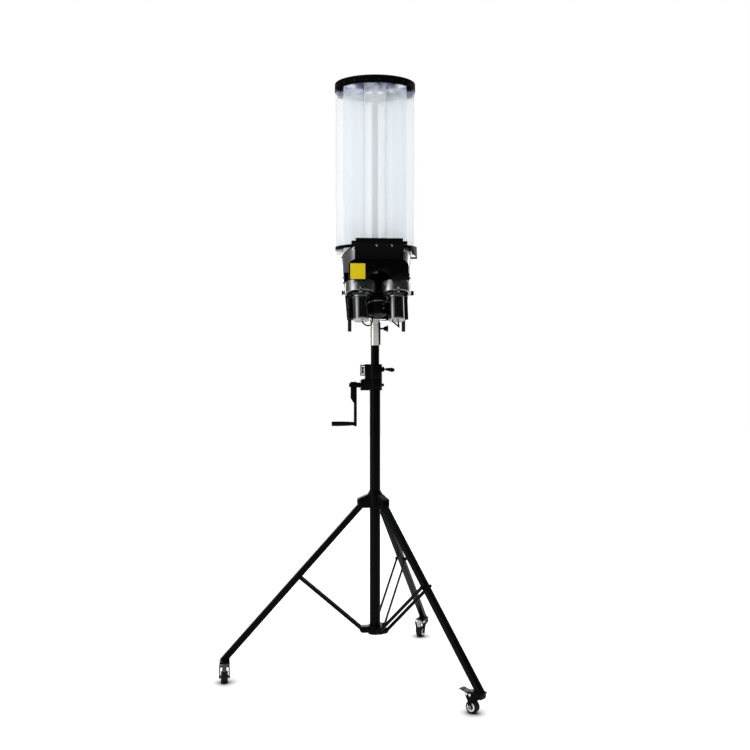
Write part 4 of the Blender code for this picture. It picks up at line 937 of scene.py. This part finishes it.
def shell_skin():
    """The shell's outside: a wide wall, and above the front cut two flaps that reach the hood."""
    edge = cut_turn(FRONT_CUT_Z)
    shape = bmesh.new()
    main, flap, low_rows, high_rows = 96, 12, 10, 8
    rows = []
    for i in range(low_rows):
        z = SHELL_FOOT[1] + (FRONT_CUT_Z - SHELL_FOOT[1]) * i / low_rows
        first = cut_turn(z)
        turns = [first + (2 * pi - 2 * first) * k / main for k in range(main + 1)]
        rows.append([shape.verts.new(shell_point(t, z) * MM) for t in turns])

    def flap_turn(k, z):
        """The turn of column k at height z."""
        if k < flap:
            return edge - (edge - slot_turn(z)) * (flap - k) / flap
        if k > flap + main:
            return 2 * pi - edge + (edge - slot_turn(z)) * (k - flap - main) / flap
        return edge + (2 * pi - 2 * edge) * (k - flap) / main

    high = []
    for i in range(high_rows + 1):
        row = []
        for k in range(2 * flap + main + 1):
            z = FRONT_CUT_Z + (rim_height(flap_turn(k, FLAP_Z)) - FRONT_CUT_Z) * (i / high_rows)
            row.append(shape.verts.new(shell_point(flap_turn(k, z), z) * MM))
        high.append(row)
    for low, up in [*zip(rows, rows[1:] + [high[0][flap:flap + main + 1]]), *zip(high, high[1:])]:
        for i in range(len(low) - 1):
            shape.faces.new((low[i], low[i + 1], up[i + 1], up[i]))
    bmesh.ops.recalc_face_normals(shape, faces=shape.faces)
    shape.faces.ensure_lookup_table()
    face = shape.faces[main // 2]
    middle = face.calc_center_median()
    if face.normal.dot(middle - Vector((0, -SHELL_AXIS * MM, middle.z))) < 0:
        bmesh.ops.reverse_faces(shape, faces=shape.faces)
    return mesh_of("shell_wall", shape)


def make_shell():
    shell = shell_skin()
    for look in ("shell", "plastic"):
        shell.data.materials.append(FINISHES[look])
    wall = shell.modifiers.new("wall", "SOLIDIFY")
    wall.thickness = SHELL_WALL * MM
    wall.offset = -1
    wall.material_offset = 1
    wall.material_offset_rim = 1
    shell = settle(shell)
    drill = lathe("drill", mirrored([(0, 140), (4.4, 140)]), 24, 0, False)
    moved(drill, PITCH_AXIS @ Matrix.Rotation(pi / 2, 4, "Y"))
    holes = shell.modifiers.new("holes", "BOOLEAN")
    holes.operation, holes.solver, holes.object = "DIFFERENCE", "EXACT", drill
    shell = settle(shell)
    bpy.data.objects.remove(drill, do_unlink=True)
    put(soften(shell, 30), "head", "shell", "head_shell")
    first, steps = slot_turn(1393), 160
    turns = [first + (2 * pi - 2 * first) * k / steps for k in range(steps + 1)]
    rim = [shell_point(t, rim_height(t) - 0.4, 1.0) for t in turns]
    put(swept("shell_rim_trim", "matt", rim, 1.9), "head", "matt")


def on_shell(turn, z):
    """A place on the shell's outside and the way that it faces, for a screw."""
    return shell_point(turn, z), (sin(turn), -cos(turn), 0)


def make_head():
    put(from_cad("head_deck_plate", "head_deck", 0.5), "head", "paint", "head_deck")
    motor = [(0, 1332.3), (4, 1332.3), (4, 1312.3), (16, 1312.3), (16, 1296.3), (18.5, 1296.3), (18.5, 1246.3),
             (0, 1246.3)]
    put(lathe("magazine_drive_motor", motor, 48, 0.6, False), "head", "plastic", "magazine_motor")
    put(from_cad("magazine_floor_plate", "magazine_floor", 0.6), "head", "plastic", "magazine_floor")
    put(from_cad("hood_cover", "hood", 0.4), "head", "plastic", "hood")
    put(from_cad("front_plate", "front_panel", 0.5), "head", "gloss", "front_panel")
    corner, (left, right, low, high) = 2.5, (-93.5, -46, 1290.8, 1340)
    outline = [*arc((right - corner, high - corner), corner, 0, 90, 5),
               *arc((left + corner, high - corner), corner, 90, 180, 5),
               *arc((left + corner, low + corner), corner, 180, 270, 5),
               *arc((right - corner, low + corner), corner, 270, 360, 5)]
    put(plate("yellow_plate", [outline], -144.3, -143.45, "XZ", 0.25), "head", "yellow")
    places = [((x, -140, 1398.2), AHEAD) for x in (-9, 40)]
    put(screws("hood_screws", "zinc", places, (2.8, 1.8), (3.6, 0.5), 24), "head", "zinc")
    places = [on_shell(asin(x / shell_radius(z)), z) for x, z in ((-81, 1389), (81, 1386))]
    put(screws("shell_flap_screws", "zinc", places, (3.6, 2.2), (4.8, 0.7), 24), "head", "zinc")
    bolts = (-78, 1300), (-80, 1284), (78, 1300), (112, 1200), (-112, 1200), (150, 1200), (-150, 1200)
    places = [on_shell(radians(turn), z) for turn, z in bolts]
    put(screws("shell_side_bolts", "zinc", places, (3.8, 2.6), (5.2, 0.8)), "head", "zinc")
    guard_r, guard_end = 136, -36
    for name, z, rise in (("low", 1389, 3), ("high", 1399, 10)):
        guard = []
        for turn in range(-56, -33, 2):
            lift = rise * (1 - cos(radians((guard_end - turn) * 7.5))) / 2
            guard.append((guard_r * cos(radians(turn)), guard_r * sin(radians(turn)), z + lift))
        put(swept(f"catch_guard_{name}", "plastic", guard, 1.6), "head", "plastic")
    for side, sign in PAIR:
        foot = [(0, 1200), (6, 1200), (6, 1128), (5, 1126), (0, 1126)]
        foot = lathe(f"head_foot_{side}_post", foot, 32, 0.5, False)
        put(moved(foot, at_place(sign * 88, -50, 0)), "head", "rubber", f"head_foot_{side}")


FLYWHEEL = [(0, 8), (12, 8), (12, 0), (40, 0), (40, 12), (48, 12), (49, 11), (49, -23), (48, -24), (40, -24),
            (40, -6), (12, -6), (12, -24), (4, -24), (4, -42), (0, -42)]
WHEEL_MOTOR = [(4.4, -37.5), (25.5, -37.5), (26, -38.5), (26, -108), (25, -109.5), (0, -109.5), (0, -45),
               (4.4, -44)]
MOTOR_FLANGE = [(4.4, -26.6), (9, -26.6), (9, -33.3), (27, -33.3), (27, -37.4), (4.4, -37.4)]
MOTOR_END = [(25.2, -109.6), (25.2, -110.5), (24, -113), (8, -113), (7, -111.5), (0, -111.5), (0, -109.6)]
FEED_MOTOR = [(0, -37.9), (27.5, -37.9), (28, -38.8), (28, -85), (25, -88), (0, -88)]
FEED_BAND = [(28.2, -43), (28.9, -43.6), (28.9, -46.4), (28.2, -47)]
FEED_FLANGE = [(0, -30.5), (8, -30.5), (8, -33.3), (29.5, -33.3), (29.5, -37.8), (0, -37.8)]
PITCH_KNOBS = {
    "left": [(0, 112), (7.5, 112), (7.5, 107.3), (4, 107.3), (4, 92), (0, 92)],
    "right": [(0, 124), (7.5, 124), (7.5, 112.2), (5.5, 112.2), (5.5, 107.3), (4, 107.3), (4, 92), (0, 92)],
}
TAB_X, TAB_HALF = 60, 4.5
TAB_BEND = [(-74, -30), (-74, -28), (-112, -28), (-112, -13), (-114, -13), (-114, -30)]


def around(radius, height, turns):
    """Places on a circle about Z for screws that face down."""
    return [((radius * cos(radians(a)), radius * sin(radians(a)), height), DOWN) for a in turns]


def make_launcher():
    put(from_cad("launcher_base", "launcher_plate", 0.5), "launcher", "paint", "launcher_plate")
    for side, sign in PAIR:
        at = LAUNCHER @ at_place(sign * WHEEL_X, -WHEEL_F, 0)
        metal, name = f"turned_{side}", f"wheel_motor_{side}"
        finish(metal, brushed((0.42, 0.425, 0.43), 0.27, turned=at))
        wheel = lathe(f"flywheel_{side}_wheel", FLYWHEEL, 96, 0.6, False)
        put(moved(wheel, at), f"{side}_flywheel", metal, f"flywheel_{side}")
        can = lathe(f"{name}_can", WHEEL_MOTOR, 64, 0.5, False)
        put(moved(can, at), "launcher", "motor_black", name)
        put(moved(lathe(f"{name}_flange", MOTOR_FLANGE, 64, 0.4), at), "launcher", metal)
        put(moved(lathe(f"{name}_end", MOTOR_END, 64, 0.3, False), at), "launcher", metal)
        heads = screws(f"{name}_end_screws", "steel", around(16, -112.8, (20, 140, 260)), (2.2, 1.2), (2.8, 0.3), 20)
        put(moved(heads, at), "launcher", "steel")
        places = around(23.2, -37.4, range(25, 360, 60))
        heads = screws(f"{name}_flange_screws", "steel", places, (0.9, 0.8), (1.1, 0.1), 12)
        put(moved(heads, at), "launcher", "steel")
        places = [((x, -25.5, -31), AHEAD) for x in (-5, 9)]
        heads = screws(f"launcher_nose_{side}_bolts", "zinc", places, (3.0, 3.0), (3.6, 0.6))
        put(moved(heads, LAUNCHER @ at_place(sign * WHEEL_X, -(WHEEL_F - 15.6), 0)), "launcher", "zinc")
        middle = sign * TAB_X
        tab = plate(f"launcher_tab_{side}", [TAB_BEND], middle - TAB_HALF, middle + TAB_HALF, "YZ", 0.3)
        put(moved(tab, LAUNCHER), "launcher", "zinc")
        bolt = screws(f"launcher_tab_{side}_bolt", "zinc", [((middle, -114, -20), AHEAD)], (3, 2), (4, 0.5))
        put(moved(bolt, LAUNCHER), "launcher", "zinc")
    at = LAUNCHER @ at_place(0, -FEED_F, 0)
    finish("turned_feed", brushed((0.5, 0.5, 0.51), 0.3, turned=at))
    put(moved(lathe("feed_motor_can", FEED_MOTOR, 64, 0.5, False), at), "launcher", "plastic", "feed_motor")
    put(moved(lathe("feed_motor_band", FEED_BAND, 64, 0.2), at), "launcher", "turned_feed")
    sides = [((28 * sin(radians(a)), -28 * cos(radians(a)), h), (sin(radians(a)), -cos(radians(a)), 0))
             for a, h in ((38, -55), (36, -70))]
    heads = screws("feed_motor_screws", "zinc", sides, (2.4, 1.6), (3.0, 0.4), 20)
    put(moved(heads, at), "launcher", "zinc")
    put(moved(lathe("feed_motor_flange", FEED_FLANGE, 64, 0.4, False), at), "launcher", "plastic")
    put(from_cad("feed_sled", "feed_arm", 0.4), "feed_arm", "dark_steel", "feed_arm")
    for side, sign in PAIR:
        knob = lathe(f"pitch_{side}_knob", PITCH_KNOBS[side], 40, 0.6, False)
        turn = PITCH_AXIS @ Matrix.Rotation(sign * pi / 2, 4, "Y")
        put(moved(knob, turn), f"{side}_pitch_knob", "plastic", f"pitch_knob_{side}")


# Magazine


def tube_places():
    for i in range(8):
        turn = radians(MAGAZINE_REST + 45 * i)
        yield TUBE_CENTRES * cos(turn), TUBE_CENTRES * sin(turn)


def make_rings():
    holes = [circle(at, TUBE_R + 0.3, 56) for at in tube_places()]
    holes.append(circle((0, 0), ROD_R + 0.3, 40))
    low, high = BOTTOM_RING_Z
    ring = plate("bottom_ring", [circle((0, 0), RING_R - 1.5, 144), *holes], low, high, edge=0.8)
    put(ring, "magazine", "matt", "magazine_bottom_ring")
    low, high = TOP_RING_Z
    ring = plate("top_ring_plate", [circle((0, 0), RING_R - 0.1, 144), *holes], high - 4, high, edge=0.6)
    put(ring, "magazine", "matt", "magazine_top_ring")
    skirt = [(RING_R, high - 1.2), (RING_R, low), (RING_R - 1.9, low), (RING_R - 1.9, high - 1.2)]
    put(lathe("top_ring_skirt", skirt, 144, 0.5), "magazine", "matt")
    dome = lathe("dome", [(0, 1.0), (1.2, 0.8), (2.1, 0), (1.8, -0.6), (0, -0.6)], 20, 0.3, False)
    dome = moved(dome, Matrix.Rotation(pi / 2, 4, "Y"))
    rivets = ringed("top_ring_rivets", "dark_steel", dome, 20, RING_R)
    put(moved(rivets, at_place(0, 0, 1927)), "magazine", "dark_steel")
    for i in (1, 2, 5, 6):
        clip = block(f"top_ring_clip_{i}", (112, -9, low - 8), (RING_R - 1, 9, high - 1), 1.0)
        put(moved(clip, about_z(MAGAZINE_REST + 45 * (i + 0.5))), "magazine", "plastic")


def make_magazine():
    make_rings()
    finish("turned_rod", coated((0.30, 0.35, 0.29), 0.45, 0.00001, 500))
    rod = [(0, 1945), (ROD_R, 1945), (ROD_R, 1318), (4.4, 1318), (4.4, 1336), (0, 1336)]
    put(lathe("magazine_rod", rod, 40, 1.0, False), "magazine", "turned_rod", "centre_rod")
    washer = [(18, 1943.2), (18, 1941.2), (10.1, 1941.2), (10.1, 1943.2)]
    put(lathe("magazine_rod_washer", washer, 48, 0.4), "magazine", "steel")
    (foot, top), inner, lip = TUBE_SPAN, TUBE_R - TUBE_WALL, 3.0
    outline = [(inner, top - lip), (inner, top), (TUBE_R, top), (TUBE_R, foot), (inner, foot), (inner, foot + lip)]
    for i, (x, y) in enumerate(tube_places()):
        tube = lathe(f"clear_tube_{i + 1}", outline, 80, 0.25, False)
        put(moved(tube, at_place(x, y, 0)), "magazine", "tube", f"shuttle_tube_{i + 1}")


bpy.context.scene.view_settings.view_transform = "Standard"
make_finishes()
TREES = make_trees()
make_camera()
make_floor()
make_world()
make_lights()
make_leads()
make_stand()
make_casters()
make_winch()
make_sleeve()
make_shell()
make_head()
make_launcher()
make_magazine()
